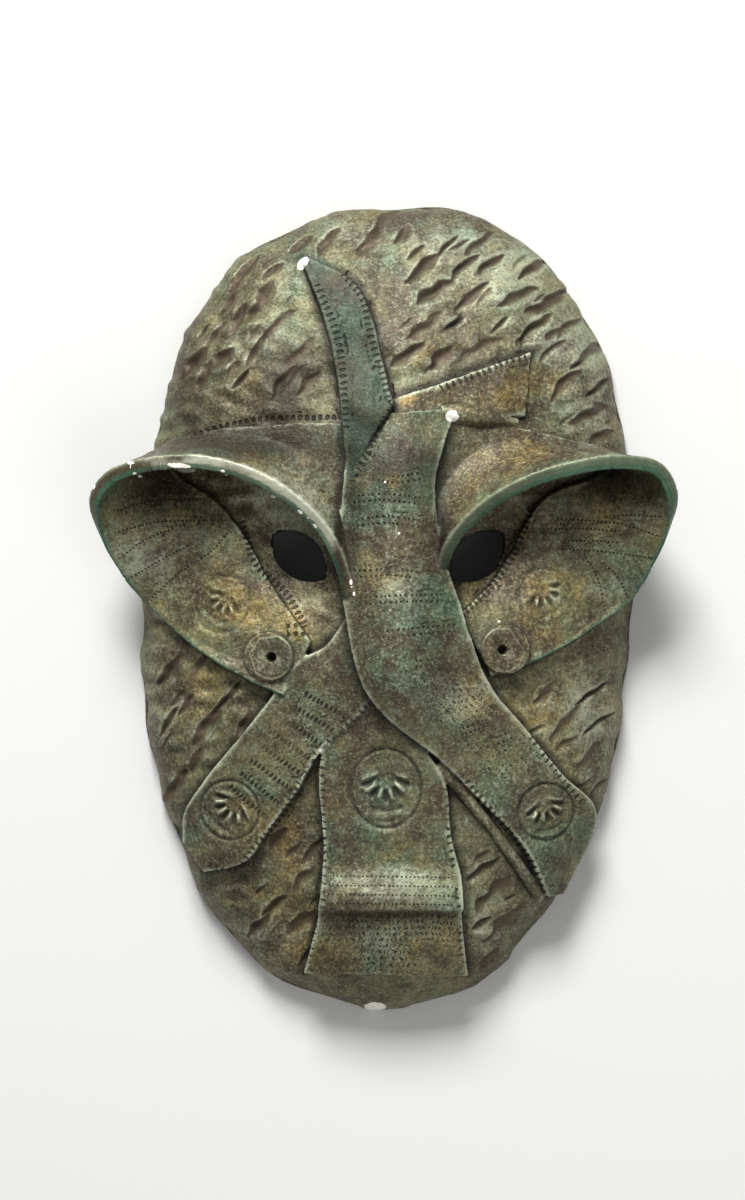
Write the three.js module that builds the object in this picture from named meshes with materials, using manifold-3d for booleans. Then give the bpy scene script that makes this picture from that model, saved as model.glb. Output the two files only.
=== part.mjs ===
import * as THREE from 'three';
import { mergeVertices } from 'three/addons/utils/BufferGeometryUtils.js';
import Module from 'manifold-3d';

// A slab-built fired clay wall mask, lying face up on its flat back rim.
// Millimetres, +X to the right of the face, +Y to the top of the head, +Z out of the face.

const faceWidth = 202;
const faceHeight = 330;
const crownHeight = 44;
const wallThickness = 7;
const rimWidth = 7;
const hoodThickness = 5.5;
const strapThickness = 5;
const noseStrapThickness = 8;
const noseStrapSwell = 3;
const noseStrapThinning = 5;
const topStrapThickness = 4.5;
const topStrapRise = 3.5;
const browTabThickness = 3.5;
const cordHeight = 4.5;
const cordWidth = 4.5;
const embedDepth = 3;
const noseRidgeHeight = 9;
const socketDepth = 9;
const lipHeight = 5.5;
const lipTop = -0.6;
const lipFoot = -0.722;
const rollRadius = 4.2;
const studRadius = 10;
const studHeight = 7;
const studHoleRadius = 1.8;
const studHoleDepth = 9;
const eyeHoleLength = 27;
const eyeHoleWidth = 17;
const gougeLength = 16;
const gougeWidth = 4.8;
const gougeDepth = 1.9;
const gougePitch = 14.5;
const ringGrooveRadius = 0.9;
const leafLobeDepth = 1.5;
const nailSeatWidth = 30;
const nailSeatFloor = 12;
const nailSeatRoof = 20;
const nailSeatReach = 147;
const meshTolerance = 0.05;
const cornerPitch = 0.02;

const halfWidth = faceWidth / 2;
const halfHeight = faceHeight / 2;
const wasm = await Module();
wasm.setup();

const clay = fireClay();

// Materials

function fireClay() {
  const material = new THREE.MeshStandardMaterial({ color: 0x5f5a3e, roughness: 0.62, metalness: 0.25 });
  material.name = 'clay';
  return material;
}

// Small helpers

function smooth(low, high, value) {
  const t = Math.min(1, Math.max(0, (value - low) / (high - low)));
  return t * t * (3 - 2 * t);
}

function seededRandom(seed) {
  let state = seed;
  return () => {
    state = (state * 16807) % 2147483647;
    return state / 2147483647;
  };
}

function solidOf(geometry) {
  const plain = geometry.clone();
  for (const name of ['normal', 'uv']) {
    plain.deleteAttribute(name);
  }
  const welded = mergeVertices(plain, 1e-4);
  return new wasm.Manifold(new wasm.Mesh({
    numProp: 3,
    vertProperties: new Float32Array(welded.attributes.position.array),
    triVerts: new Uint32Array(welded.index.array),
  }));
}

function volumeOf(points, faces) {
  let sum = 0;
  for (const [a, b, c] of faces) {
    sum += points[a].dot(new THREE.Vector3().crossVectors(points[b], points[c]));
  }
  return sum;
}

// Turns points and faces into a closed solid with its faces outward.
function closedSolid(points, faces) {
  const outward = volumeOf(points, faces) > 0;
  const index = faces.flatMap(([a, b, c]) => (outward ? [a, b, c] : [a, c, b]));
  const geometry = new THREE.BufferGeometry();
  const positions = points.flatMap((p) => p.toArray());
  geometry.setAttribute('position', new THREE.Float32BufferAttribute(positions, 3));
  geometry.setIndex(index);
  return solidOf(geometry);
}

// A closed sheet between an upper and a lower surface, both given over u and v from 0 to 1.
function sheetSolid(rows, columns, upper, lower) {
  const points = [];
  for (const surface of [upper, lower]) {
    for (let i = 0; i <= rows; i += 1) {
      for (let j = 0; j <= columns; j += 1) {
        points.push(surface(i / rows, j / columns));
      }
    }
  }
  const under = (rows + 1) * (columns + 1);
  const at = (i, j) => i * (columns + 1) + j;
  const faces = [];
  const quad = (a, b, c, d) => faces.push([a, b, c], [a, c, d]);
  for (let i = 0; i < rows; i += 1) {
    for (let j = 0; j < columns; j += 1) {
      quad(at(i, j), at(i, j + 1), at(i + 1, j + 1), at(i + 1, j));
      quad(under + at(i, j), under + at(i + 1, j), under + at(i + 1, j + 1), under + at(i, j + 1));
    }
    quad(at(i, 0), at(i + 1, 0), under + at(i + 1, 0), under + at(i, 0));
    quad(at(i + 1, columns), at(i, columns), under + at(i, columns), under + at(i + 1, columns));
  }
  for (let j = 0; j < columns; j += 1) {
    quad(at(0, j + 1), at(0, j), under + at(0, j), under + at(0, j + 1));
    quad(at(rows, j), at(rows, j + 1), under + at(rows, j + 1), under + at(rows, j));
  }
  return closedSolid(points, faces);
}

// A closed dome of rings and spokes over a flat floor.
function domeSolid(rings, spokes, place, floor) {
  const points = [place(0, 0), new THREE.Vector3(0, 0, floor)];
  for (let i = 1; i <= rings; i += 1) {
    for (let j = 0; j < spokes; j += 1) {
      points.push(place(Math.sin((i / rings) * Math.PI / 2), (j / spokes) * Math.PI * 2));
    }
  }
  const edge = points.slice(-spokes).map((p) => new THREE.Vector3(p.x, p.y, floor));
  const hasWall = Math.abs(points[points.length - 1].z - floor) > 1e-6;
  const at = (i, j) => 2 + (i - 1) * spokes + (j % spokes);
  const faces = [];
  for (let j = 0; j < spokes; j += 1) {
    faces.push([0, at(1, j), at(1, j + 1)]);
    for (let i = 1; i < rings; i += 1) {
      faces.push([at(i, j), at(i + 1, j), at(i + 1, j + 1)], [at(i, j), at(i + 1, j + 1), at(i, j + 1)]);
    }
  }
  const foot = hasWall ? rings + 1 : rings;
  if (hasWall) {
    points.push(...edge);
  }
  for (let j = 0; j < spokes; j += 1) {
    if (hasWall) {
      faces.push([at(rings, j), at(foot, j), at(foot, j + 1)]);
      faces.push([at(rings, j), at(foot, j + 1), at(rings, j + 1)]);
    }
    faces.push([1, at(foot, j + 1), at(foot, j)]);
  }
  return closedSolid(points, faces);
}

// A smooth curve through points given in shares of the half face.
function faceCurve(shares) {
  const points = shares.map(
    ([x, y, z = 0]) => new THREE.Vector3(x * halfWidth, y * halfHeight, z * crownHeight),
  );
  return new THREE.CatmullRomCurve3(points, false, 'centripetal');
}

// The form of the face

function middleLine(y) {
  return halfWidth * (0.013 + 0.03 * (y / halfHeight));
}

// Distance from the middle of the face to its outline, with the uneven edge of a hand-cut slab.
function reach(angle) {
  const power = Math.sin(angle) >= 0 ? 2.55 : 2.1;
  const across = Math.abs(Math.cos(angle)) / halfWidth;
  const along = Math.abs(Math.sin(angle)) / halfHeight;
  const wobble = 0.006 * Math.sin(9 * angle + 1) + 0.005 * Math.sin(23 * angle);
  return (across ** power + along ** power) ** (-1 / power) * (1 + wobble);
}

function outlineShare(x, y) {
  const offset = x - middleLine(y);
  return Math.hypot(offset, y) / reach(Math.atan2(y, offset));
}

function plainDome(share) {
  return crownHeight * (1 - Math.min(1, share) ** 2.4) ** (1 / 2.2);
}

function noseRidge(x, y) {
  const up = y / halfHeight;
  const across = Math.exp(-(((x / halfWidth - 0.06) / 0.15) ** 2));
  const fade = (1 - 0.55 * smooth(0, 0.515, up)) * (1 - smooth(0.455, 0.605, up));
  const along = smooth(-0.375, -0.135, up) * fade;
  return noseRidgeHeight * across * along;
}

function eyeSockets(x, y) {
  const up = Math.exp(-(((y / halfHeight - 0.145) / 0.133) ** 2));
  const left = Math.exp(-(((x / halfWidth + 0.356) / 0.168) ** 2));
  const right = Math.exp(-(((x / halfWidth - 0.406) / 0.168) ** 2));
  return socketDepth * up * (left + right);
}

function faceForm(x, y, share) {
  return plainDome(share) + noseRidge(x, y) - eyeSockets(x, y);
}

function faceHeightAt(x, y) {
  return faceForm(x, y, outlineShare(x, y));
}

function faceNormal(x, y) {
  const step = 0.8;
  const slopeX = (faceHeightAt(x + step, y) - faceHeightAt(x - step, y)) / (2 * step);
  const slopeY = (faceHeightAt(x, y + step) - faceHeightAt(x, y - step)) / (2 * step);
  return new THREE.Vector3(-slopeX, -slopeY, 1).normalize();
}

function onFace(x, y, lift) {
  const foot = new THREE.Vector3(x, y, faceHeightAt(x, y));
  return foot.addScaledVector(faceNormal(x, y), lift);
}

function polarPlace(inset, drop) {
  return (share, angle) => {
    const radius = share * (reach(angle) - inset);
    const y = radius * Math.sin(angle);
    const x = radius * Math.cos(angle) + middleLine(y);
    const fade = drop * (1 - share ** 8);
    const height = share === 1 ? 0 : faceForm(x, y, share) - fade;
    return new THREE.Vector3(x, y, Math.max(0, height));
  };
}

function shell() {
  const outer = domeSolid(14, 64, polarPlace(0, 0), 0);
  const hollow = domeSolid(8, 40, polarPlace(rimWidth, wallThickness), -wallThickness);
  return outer.subtract(hollow);
}

// Openings cut through the wall

function eyeHole(x, y, turn) {
  const outline = new THREE.Shape();
  outline.moveTo(-eyeHoleLength / 2, 0);
  outline.quadraticCurveTo(eyeHoleLength * -0.08, eyeHoleWidth * 0.95, eyeHoleLength / 2, 0);
  outline.quadraticCurveTo(eyeHoleLength * 0.08, -eyeHoleWidth * 0.95, -eyeHoleLength / 2, 0);
  const cutter = new THREE.ExtrudeGeometry(outline, {
    depth: 2 * crownHeight,
    bevelEnabled: false,
    curveSegments: 6,
  });
  cutter.rotateZ(turn);
  cutter.translate(x, y, embedDepth);
  return solidOf(cutter);
}

function nailSeat() {
  const box = new THREE.BoxGeometry(nailSeatWidth, nailSeatWidth, nailSeatRoof - nailSeatFloor);
  const seatMiddle = (nailSeatRoof + nailSeatFloor) / 2;
  box.translate(middleLine(halfHeight), nailSeatReach - nailSeatWidth / 2, seatMiddle);
  return solidOf(box);
}

// A pointed dent laid along the surface, deepest a little behind its middle.
function dent(x, y, turn, length, width, depth, lift = 0) {
  const up = faceNormal(x, y);
  const ahead = new THREE.Vector3(Math.cos(turn), Math.sin(turn), 0).projectOnPlane(up).normalize();
  const side = up.clone().cross(ahead);
  const spot = onFace(x, y, lift);
  const place = (along, across, down) => spot.clone()
    .addScaledVector(ahead, along * length)
    .addScaledVector(side, across * width)
    .addScaledVector(up, -down * depth);
  const ends = [place(0.6, 0, 0), place(-0.4, 0, 0)];
  const sides = [place(0, 0.5, -0.2), place(0, -0.5, -0.2)];
  const points = [...ends, ...sides, place(-0.05, 0, 1), place(0, 0, -1)];
  const faces = [[0, 2, 4], [0, 4, 3], [0, 3, 5], [0, 5, 2], [1, 4, 2], [1, 3, 4], [1, 5, 3], [1, 2, 5]];
  return closedSolid(points, faces);
}

// The direction in which the tool was drawn, which fans out over the face.
function strokeTurn(x) {
  const side = (x - middleLine(0)) / halfWidth;
  return THREE.MathUtils.degToRad(side > 0 ? 40 - 4 * side : 42 - 18 * side);
}

function gouges() {
  const random = seededRandom(41);
  const cutters = [];
  for (let y = -halfHeight; y < halfHeight; y += gougePitch * 0.8) {
    const shift = (Math.round(y / (gougePitch * 0.8)) % 2) * gougePitch * 0.5;
    for (let x = -halfWidth; x < halfWidth; x += gougePitch) {
      const px = x + shift + (random() - 0.5) * gougePitch * 0.4;
      const py = y + (random() - 0.5) * gougePitch * 0.4;
      const size = 0.75 + 0.5 * random();
      const turn = strokeTurn(px) + (random() - 0.5) * 0.35;
      const share = outlineShare(px, py);
      if (share < 0.955 && isBare(px / halfWidth, py / halfHeight)) {
        cutters.push(dent(px, py, turn, gougeLength * size, gougeWidth * size, gougeDepth));
      }
    }
  }
  return wasm.Manifold.union(cutters);
}

// Places where the wall of the face shows between the slabs laid on it.
function isBare(x, y) {
  const underTopStrap = y > 0.4 && y < 0.88 && x > -0.42 + 0.35 * (0.88 - y) && x < 0.06;
  const aboveBrow = y > 0.49 - 0.09 * Math.max(0, x);
  const onTab = x > 0 && x < 0.64 && y < 0.53 + 0.19 * x;
  const leftCheek = x < -0.35 && y < -0.14 && y > -0.62 && x + 0.72 * y < -0.74;
  const underLeftStrap = y < -0.42 && y > -0.9 && x < -0.28 && x - 0.9 * y > 0.12;
  const rightCheek = x > 0.5 && y < -0.16 && y > -0.5 && x + 1.35 * y > 0.15;
  const underRightStrap = y < -0.5 && y > -0.9 && x > 0.36 && x + 1.05 * y < -0.2;
  const forehead = aboveBrow && !underTopStrap && !onTab;
  return forehead || leftCheek || underLeftStrap || rightCheek || underRightStrap;
}

// The hoods over the eyes: one slab each, folded at the outer tip.
// Rim across, up and its height as a share of the crown, then the foot across and up.

const leftHood = [
  [-0.131, 0.007, 1.205, -0.140, 0.447],
  [-0.180, 0.125, 1.273, -0.219, 0.447],
  [-0.278, 0.216, 1.364, -0.330, 0.447],
  [-0.471, 0.303, 1.455, -0.497, 0.441],
  [-0.692, 0.346, 1.455, -0.670, 0.433],
  [-0.908, 0.343, 1.386, -0.815, 0.414],
  [-1.062, 0.315, 1.273, -0.875, 0.375],
  [-1.136, 0.262, 1.136, -0.814, 0.325],
  [-1.122, 0.181, 0.909, -0.681, 0.272],
  [-1.045, 0.092, 0.705, -0.580, 0.206],
  [-0.935, 0.010, 0.545, -0.528, 0.147],
  [-0.749, -0.095, 0.795, -0.440, 0.050],
  [-0.567, -0.165, 0.955, -0.361, -0.015],
  [-0.392, -0.213, 1.023, -0.282, -0.080],
];

const rightHood = [
  [0.225, 0.086, 1.205, 0.150, 0.447],
  [0.262, 0.150, 1.273, 0.271, 0.447],
  [0.375, 0.231, 1.364, 0.382, 0.447],
  [0.548, 0.296, 1.455, 0.542, 0.434],
  [0.742, 0.334, 1.455, 0.708, 0.413],
  [0.919, 0.349, 1.386, 0.860, 0.386],
  [1.067, 0.335, 1.273, 0.915, 0.358],
  [1.136, 0.275, 1.136, 0.850, 0.325],
  [1.125, 0.181, 0.909, 0.641, 0.271],
  [1.058, 0.092, 0.705, 0.556, 0.198],
  [0.980, 0.018, 0.545, 0.516, 0.140],
  [0.828, -0.052, 0.727, 0.468, 0.089],
  [0.640, -0.119, 0.909, 0.397, 0.041],
  [0.420, -0.167, 1.023, 0.294, -0.015],
];

function hoodMiddle(stations) {
  const rim = faceCurve(stations.map(([x, y, z]) => [x, y, z]));
  const foot = faceCurve(stations.map((station) => [station[3], station[4]]));
  return (u, v) => {
    const top = rim.getPoint(u);
    const base = foot.getPoint(u);
    base.z = faceHeightAt(base.x, base.y) - 1;
    const bend = base.clone().lerp(top, 0.55);
    bend.z = base.z + 0.25 * (top.z - base.z);
    const point = base.multiplyScalar((1 - v) ** 2);
    point.addScaledVector(bend, 2 * v * (1 - v)).addScaledVector(top, v * v);
    const inside = 1 - smooth(0.9, 0.99, outlineShare(point.x, point.y));
    const lowest = faceHeightAt(point.x, point.y) + 2.2;
    point.z = Math.max(point.z, lowest * inside + point.z * (1 - inside));
    return point;
  };
}

function hood(stations, side) {
  const middle = hoodMiddle(stations);
  const step = 0.012;
  const normalAt = (u, v) => {
    const along = middle(Math.min(1, u + step), v).sub(middle(Math.max(0, u - step), v));
    const out = middle(u, Math.min(1, v + 0.08)).sub(middle(u, Math.max(0, v - 0.08)));
    return along.cross(out).multiplyScalar(side).normalize();
  };
  const upper = (u, v) => middle(u, v).addScaledVector(normalAt(u, v), hoodThickness / 2);
  const lower = (u, v) => {
    const point = middle(u, v);
    const rests = smooth(0.62, 0.74, u) * (1 - smooth(0.86, 0.95, outlineShare(point.x, point.y)));
    const sunk = new THREE.Vector3(point.x, point.y, faceHeightAt(point.x, point.y) - embedDepth);
    return point.addScaledVector(normalAt(u, v), -hoodThickness / 2).lerp(sunk, rests);
  };
  return sheetSolid(32, 5, upper, lower);
}

// Slabs pressed on to the face, each between two edges in shares of the half face

function slab(leftEdge, rightEdge, rows, columns, lift) {
  const left = faceCurve(leftEdge);
  const right = faceCurve(rightEdge);
  const across = (u, v) => left.getPoint(u).lerp(right.getPoint(u), v);
  const upper = (u, v) => {
    const spot = across(u, v);
    return onFace(spot.x, spot.y, lift(u, v, spot));
  };
  const lower = (u, v) => {
    const spot = across(u, v);
    return onFace(spot.x, spot.y, -embedDepth);
  };
  return sheetSolid(rows, columns, upper, lower);
}

function noseStrap() {
  const left = [
    [-0.128, 0.455], [-0.139, 0.261], [-0.143, 0.117], [-0.123, -0.003], [-0.084, -0.098],
    [-0.022, -0.193], [0.065, -0.271], [0.222, -0.364], [0.381, -0.462], [0.543, -0.574], [0.632, -0.695],
  ];
  const right = [
    [0.275, 0.478], [0.174, 0.300], [0.181, 0.165], [0.212, 0.081], [0.267, -0.003],
    [0.337, -0.098], [0.418, -0.195], [0.539, -0.281], [0.681, -0.392], [0.820, -0.490], [0.690, -0.690],
  ];
  const lift = (u) => noseStrapThickness * (0.7 + 0.3 * smooth(0, 0.07, u))
    + noseStrapSwell * smooth(0.25, 0.5, u)
    - noseStrapThinning * smooth(0.5, 0.75, u);
  return slab(left, right, 26, 3, lift);
}

function topStrap() {
  const left = [
    [-0.321, 0.846], [-0.260, 0.751], [-0.211, 0.651], [-0.179, 0.553], [-0.148, 0.431], [-0.122, 0.300],
  ];
  const right = [
    [-0.300, 0.853], [-0.120, 0.790], [-0.045, 0.700], [-0.006, 0.602], [0.020, 0.530], [0.045, 0.480],
  ];
  const lift = (u) => topStrapThickness + topStrapRise * smooth(0.55, 0.85, u);
  return slab(left, right, 12, 2, lift);
}

function leftStrap() {
  const upper = [
    [-0.108, 0.002], [-0.217, -0.087], [-0.332, -0.126], [-0.443, -0.220],
    [-0.551, -0.305], [-0.685, -0.407], [-0.770, -0.494], [-0.775, -0.565],
  ];
  const lower = [
    [-0.018, -0.204], [-0.116, -0.265], [-0.226, -0.328], [-0.290, -0.385],
    [-0.341, -0.442], [-0.437, -0.523], [-0.540, -0.610], [-0.690, -0.640],
  ];
  return slab(upper, lower, 16, 3, () => strapThickness);
}

function chinStrap() {
  const left = [
    [-0.030, -0.214], [-0.226, -0.328], [-0.250, -0.400], [-0.234, -0.539],
    [-0.236, -0.616], [-0.255, -0.741], [-0.310, -0.880],
  ];
  const right = [
    [0.000, -0.214], [0.200, -0.370], [0.246, -0.437], [0.263, -0.549],
    [0.295, -0.629], [0.304, -0.741], [0.329, -0.888],
  ];
  const lift = (u, v, spot) => {
    const down = (lipTop - spot.y / halfHeight) / (lipTop - lipFoot);
    return strapThickness + lipHeight * smooth(0, 0.85, down) * (1 - smooth(0.9, 1.1, down));
  };
  return slab(left, right, 30, 4, lift);
}

function browTab() {
  const upper = [[0.040, 0.500], [0.303, 0.559], [0.585, 0.624]];
  const lower = [[0.050, 0.450], [0.320, 0.450], [0.560, 0.468]];
  return slab(upper, lower, 10, 2, (u) => browTabThickness * (1 - 0.6 * smooth(0.8, 1, u)));
}

function cord() {
  const middle = faceCurve([
    [0.205, -0.370], [0.342, -0.466], [0.463, -0.561], [0.553, -0.642], [0.625, -0.712],
  ]);
  const path = new THREE.CatmullRomCurve3(middle.getPoints(8).map((p) => onFace(p.x, p.y, cordHeight / 2)));
  return tube(path, 12, cordWidth / 2, () => 1);
}

// The top of the nose strap rolled over to the right, tapering out.
function browRoll() {
  const middle = faceCurve([[0.205, 0.472], [0.310, 0.466], [0.410, 0.457], [0.530, 0.447]]);
  const path = new THREE.CatmullRomCurve3(middle.getPoints(8).map((p) => onFace(p.x, p.y, rollRadius)));
  return tube(path, 10, rollRadius, (u) => 0.6 + 0.4 * smooth(0, 0.3, u) - 0.6 * smooth(0.45, 1, u));
}

// A round roll of clay along a path, made of rings joined to its neighbours and closed at both ends.
function tube(path, rows, radius, taper) {
  const spokes = 7;
  const points = [path.getPoint(0), path.getPoint(1)];
  const faces = [];
  for (let i = 0; i <= rows; i += 1) {
    const centre = path.getPoint(i / rows);
    const along = path.getTangent(i / rows);
    const side = new THREE.Vector3(0, 0, 1).cross(along).normalize();
    const up = along.clone().cross(side);
    for (let j = 0; j < spokes; j += 1) {
      const angle = (j / spokes) * Math.PI * 2;
      const point = centre.clone().addScaledVector(side, Math.cos(angle) * radius * taper(i / rows));
      points.push(point.addScaledVector(up, Math.sin(angle) * radius * taper(i / rows)));
    }
  }
  const at = (i, j) => 2 + i * spokes + (j % spokes);
  for (let j = 0; j < spokes; j += 1) {
    faces.push([0, at(0, j + 1), at(0, j)], [1, at(rows, j), at(rows, j + 1)]);
    for (let i = 0; i < rows; i += 1) {
      faces.push([at(i, j), at(i, j + 1), at(i + 1, j + 1)], [at(i, j), at(i + 1, j + 1), at(i + 1, j)]);
    }
  }
  return closedSolid(points, faces);
}

function turnUpTo(normal) {
  return new THREE.Quaternion().setFromUnitVectors(new THREE.Vector3(0, 0, 1), normal);
}

// Discs pressed on the lower corners of the hoods, with a small hole in the middle

function studAt(x, y, radius, height, lift, taper) {
  const disc = new THREE.CylinderGeometry(radius * taper, radius, height, 20, 1);
  disc.rotateX(Math.PI / 2);
  disc.translate(0, 0, height / 2);
  disc.applyQuaternion(turnUpTo(faceNormal(x, y)));
  const spot = onFace(x, y, lift);
  disc.translate(spot.x, spot.y, spot.z);
  return solidOf(disc);
}

const studs = [[-0.442, -0.116], [0.470, -0.099]].map(([x, y]) => [x * halfWidth, y * halfHeight]);

// Stamped leaf marks: a ring groove round five lobes

function leafMark(x, y, radius, tall, turn, lift) {
  const ring = new THREE.TorusGeometry(radius, ringGrooveRadius, 4, 16);
  ring.scale(1, tall, 1);
  ring.rotateZ(turn);
  ring.applyQuaternion(turnUpTo(faceNormal(x, y)));
  const spot = onFace(x, y, lift);
  ring.translate(spot.x, spot.y, spot.z);
  const cutters = [solidOf(ring)];
  for (let i = 0; i < 5; i += 1) {
    const fan = turn - Math.PI / 2 + (i - 2) * 0.55;
    const reachOut = radius * 0.5;
    const px = x + Math.cos(fan) * reachOut;
    const py = y + Math.sin(fan) * reachOut + radius * 0.3;
    cutters.push(dent(px, py, fan, radius * 0.95, radius * 0.22, leafLobeDepth, lift));
  }
  return wasm.Manifold.union(cutters);
}

function leafMarks() {
  return wasm.Manifold.union([
    leafMark(0.009 * halfWidth, -0.433 * halfHeight, 14, 1.12, 0, strapThickness),
    leafMark(-0.615 * halfWidth, -0.490 * halfHeight, 12, 1.0, 0.7, strapThickness),
    leafMark(0.650 * halfWidth, -0.495 * halfHeight, 11.5, 1.0, -0.3, strapThickness),
  ]);
}

// Moves the corners to a fine grid and joins those that meet, so that no sliver edge is left.
function snapped(solid) {
  const result = solid.getMesh();
  const onGrid = (value) => Math.round(value / cornerPitch) * cornerPitch;
  const positions = Array.from(result.vertProperties, onGrid);
  const geometry = new THREE.BufferGeometry();
  geometry.setAttribute('position', new THREE.Float32BufferAttribute(positions, 3));
  geometry.setIndex(Array.from(result.triVerts));
  const welded = mergeVertices(geometry, cornerPitch / 4);
  const corners = welded.index.array;
  const kept = [];
  for (let i = 0; i < corners.length; i += 3) {
    const [a, b, c] = corners.slice(i, i + 3);
    if (a !== b && b !== c && c !== a) {
      kept.push(a, b, c);
    }
  }
  welded.setIndex(kept);
  return solidOf(welded).simplify(cornerPitch);
}

// The whole mask is one fired body: keep its outer skin, drop any bubble shut inside.
function largestBody(solid) {
  const bodies = solid.decompose();
  bodies.sort((a, b) => b.volume() - a.volume());
  return bodies[0];
}

function wholeMask() {
  const wall = shell()
    .subtract(eyeHole(-0.335 * halfWidth, 0.128 * halfHeight, -0.75))
    .subtract(eyeHole(0.375 * halfWidth, 0.128 * halfHeight, 0.75))
    .subtract(gouges())
    .subtract(nailSeat());
  const slabs = [
    hood(leftHood, -1),
    hood(rightHood, 1),
    leftStrap(),
    chinStrap(),
    browTab(),
    topStrap(),
    noseStrap(),
    cord(),
    browRoll(),
    ...studs.map(([x, y]) => studAt(x, y, studRadius, studHeight, 0, 0.98)),
  ];
  const holeLift = studHeight - embedDepth;
  const holes = studs.map(([x, y]) => studAt(x, y, studHoleRadius, studHoleDepth, holeLift, 1));
  const body = wasm.Manifold.union([wall, ...slabs])
    .subtract(wasm.Manifold.union([leafMarks(), ...holes]))
    .simplify(meshTolerance);
  return snapped(largestBody(body));
}

function meshOf(solid) {
  const result = solid.getMesh();
  const geometry = new THREE.BufferGeometry();
  const positions = Array.from(result.vertProperties);
  geometry.setAttribute('position', new THREE.Float32BufferAttribute(positions, 3));
  geometry.setIndex(Array.from(result.triVerts));
  geometry.computeBoundingBox();
  const box = geometry.boundingBox;
  geometry.translate(-(box.min.x + box.max.x) / 2, -(box.min.y + box.max.y) / 2, -box.min.z);
  return geometry;
}

const mask = new THREE.Mesh(meshOf(wholeMask()), clay);
mask.name = 'mask';

const part = new THREE.Group();
part.name = 'wall_mask';
part.add(mask);

export default part;
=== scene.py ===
import math

import bpy
import numpy as np
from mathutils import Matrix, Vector
from mathutils.bvhtree import BVHTree
from mathutils.kdtree import KDTree


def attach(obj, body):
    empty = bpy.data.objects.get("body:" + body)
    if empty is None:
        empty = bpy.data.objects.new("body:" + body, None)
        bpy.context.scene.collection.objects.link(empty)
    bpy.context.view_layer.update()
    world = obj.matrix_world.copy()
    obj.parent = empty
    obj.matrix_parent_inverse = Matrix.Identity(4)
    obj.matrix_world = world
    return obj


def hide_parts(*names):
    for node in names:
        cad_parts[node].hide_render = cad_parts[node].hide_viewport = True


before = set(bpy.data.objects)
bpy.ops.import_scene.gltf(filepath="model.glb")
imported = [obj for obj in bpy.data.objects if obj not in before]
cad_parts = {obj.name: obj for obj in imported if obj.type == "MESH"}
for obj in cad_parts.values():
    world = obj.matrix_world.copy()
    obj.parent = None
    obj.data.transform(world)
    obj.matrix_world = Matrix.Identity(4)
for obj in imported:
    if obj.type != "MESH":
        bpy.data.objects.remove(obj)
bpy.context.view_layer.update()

# A slab-built clay wall mask lying face up, seen from straight above.
# Lengths are in millimetres until the finished mesh is brought to metres.

face = {
    "width": 202.0,
    "height": 330.0,
    "crown": 44.0,
    "wall": 7.0,
    "rim": 7.0,
    "noseRidge": 9.0,
    "socket": 9.0,
    "embed": 3.0,
    "centring": (0.05, -0.30),
}
halfWidth = face["width"] / 2
halfHeight = face["height"] / 2


# Small helpers

def smooth(low, high, value):
    t = np.clip((value - low) / (high - low), 0.0, 1.0)
    return t * t * (3 - 2 * t)


def bump(value, centre, width):
    return np.exp(-(((value - centre) / width) ** 2))


def unit(vectors):
    return vectors / np.maximum(np.linalg.norm(vectors, axis=-1, keepdims=True), 1e-9)


def seededNumbers(seed):
    state = seed
    while True:
        state = (state * 16807) % 2147483647
        yield state / 2147483647


# The form of the face

def middleLine(y):
    return halfWidth * (0.013 + 0.03 * (y / halfHeight))


def reach(angle):
    power = np.where(np.sin(angle) >= 0, 2.55, 2.1)
    across = np.abs(np.cos(angle)) / halfWidth
    along = np.abs(np.sin(angle)) / halfHeight
    wobble = 0.006 * np.sin(9 * angle + 1) + 0.005 * np.sin(23 * angle)
    return (across ** power + along ** power) ** (-1 / power) * (1 + wobble)


def outlineShare(x, y):
    offset = x - middleLine(y)
    return np.hypot(offset, y) / reach(np.arctan2(y, offset))


def noseRidge(x, y):
    up = y / halfHeight
    across = bump(x / halfWidth, 0.06, 0.15)
    along = smooth(-0.375, -0.135, up) * (1 - 0.55 * smooth(0, 0.515, up))
    return face["noseRidge"] * across * along * (1 - smooth(0.455, 0.605, up))


def eyeSockets(x, y):
    up = bump(y / halfHeight, 0.145, 0.133)
    return face["socket"] * up * (bump(x / halfWidth, -0.356, 0.168) + bump(x / halfWidth, 0.406, 0.168))


def faceForm(x, y, share):
    dome = face["crown"] * (1 - np.minimum(1, share) ** 2.4) ** (1 / 2.2)
    return dome + noseRidge(x, y) - eyeSockets(x, y)


def faceHeight(x, y):
    return faceForm(x, y, outlineShare(x, y))


def faceNormal(x, y):
    step = 0.8
    slopeX = (faceHeight(x + step, y) - faceHeight(x - step, y)) / (2 * step)
    slopeY = (faceHeight(x, y + step) - faceHeight(x, y - step)) / (2 * step)
    return unit(np.stack([-slopeX, -slopeY, np.ones_like(slopeX)], axis=-1))


def onFace(x, y, lift):
    foot = np.stack([x, y, faceHeight(x, y)], axis=-1)
    return foot + faceNormal(x, y) * np.asarray(lift)[..., None]


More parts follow.
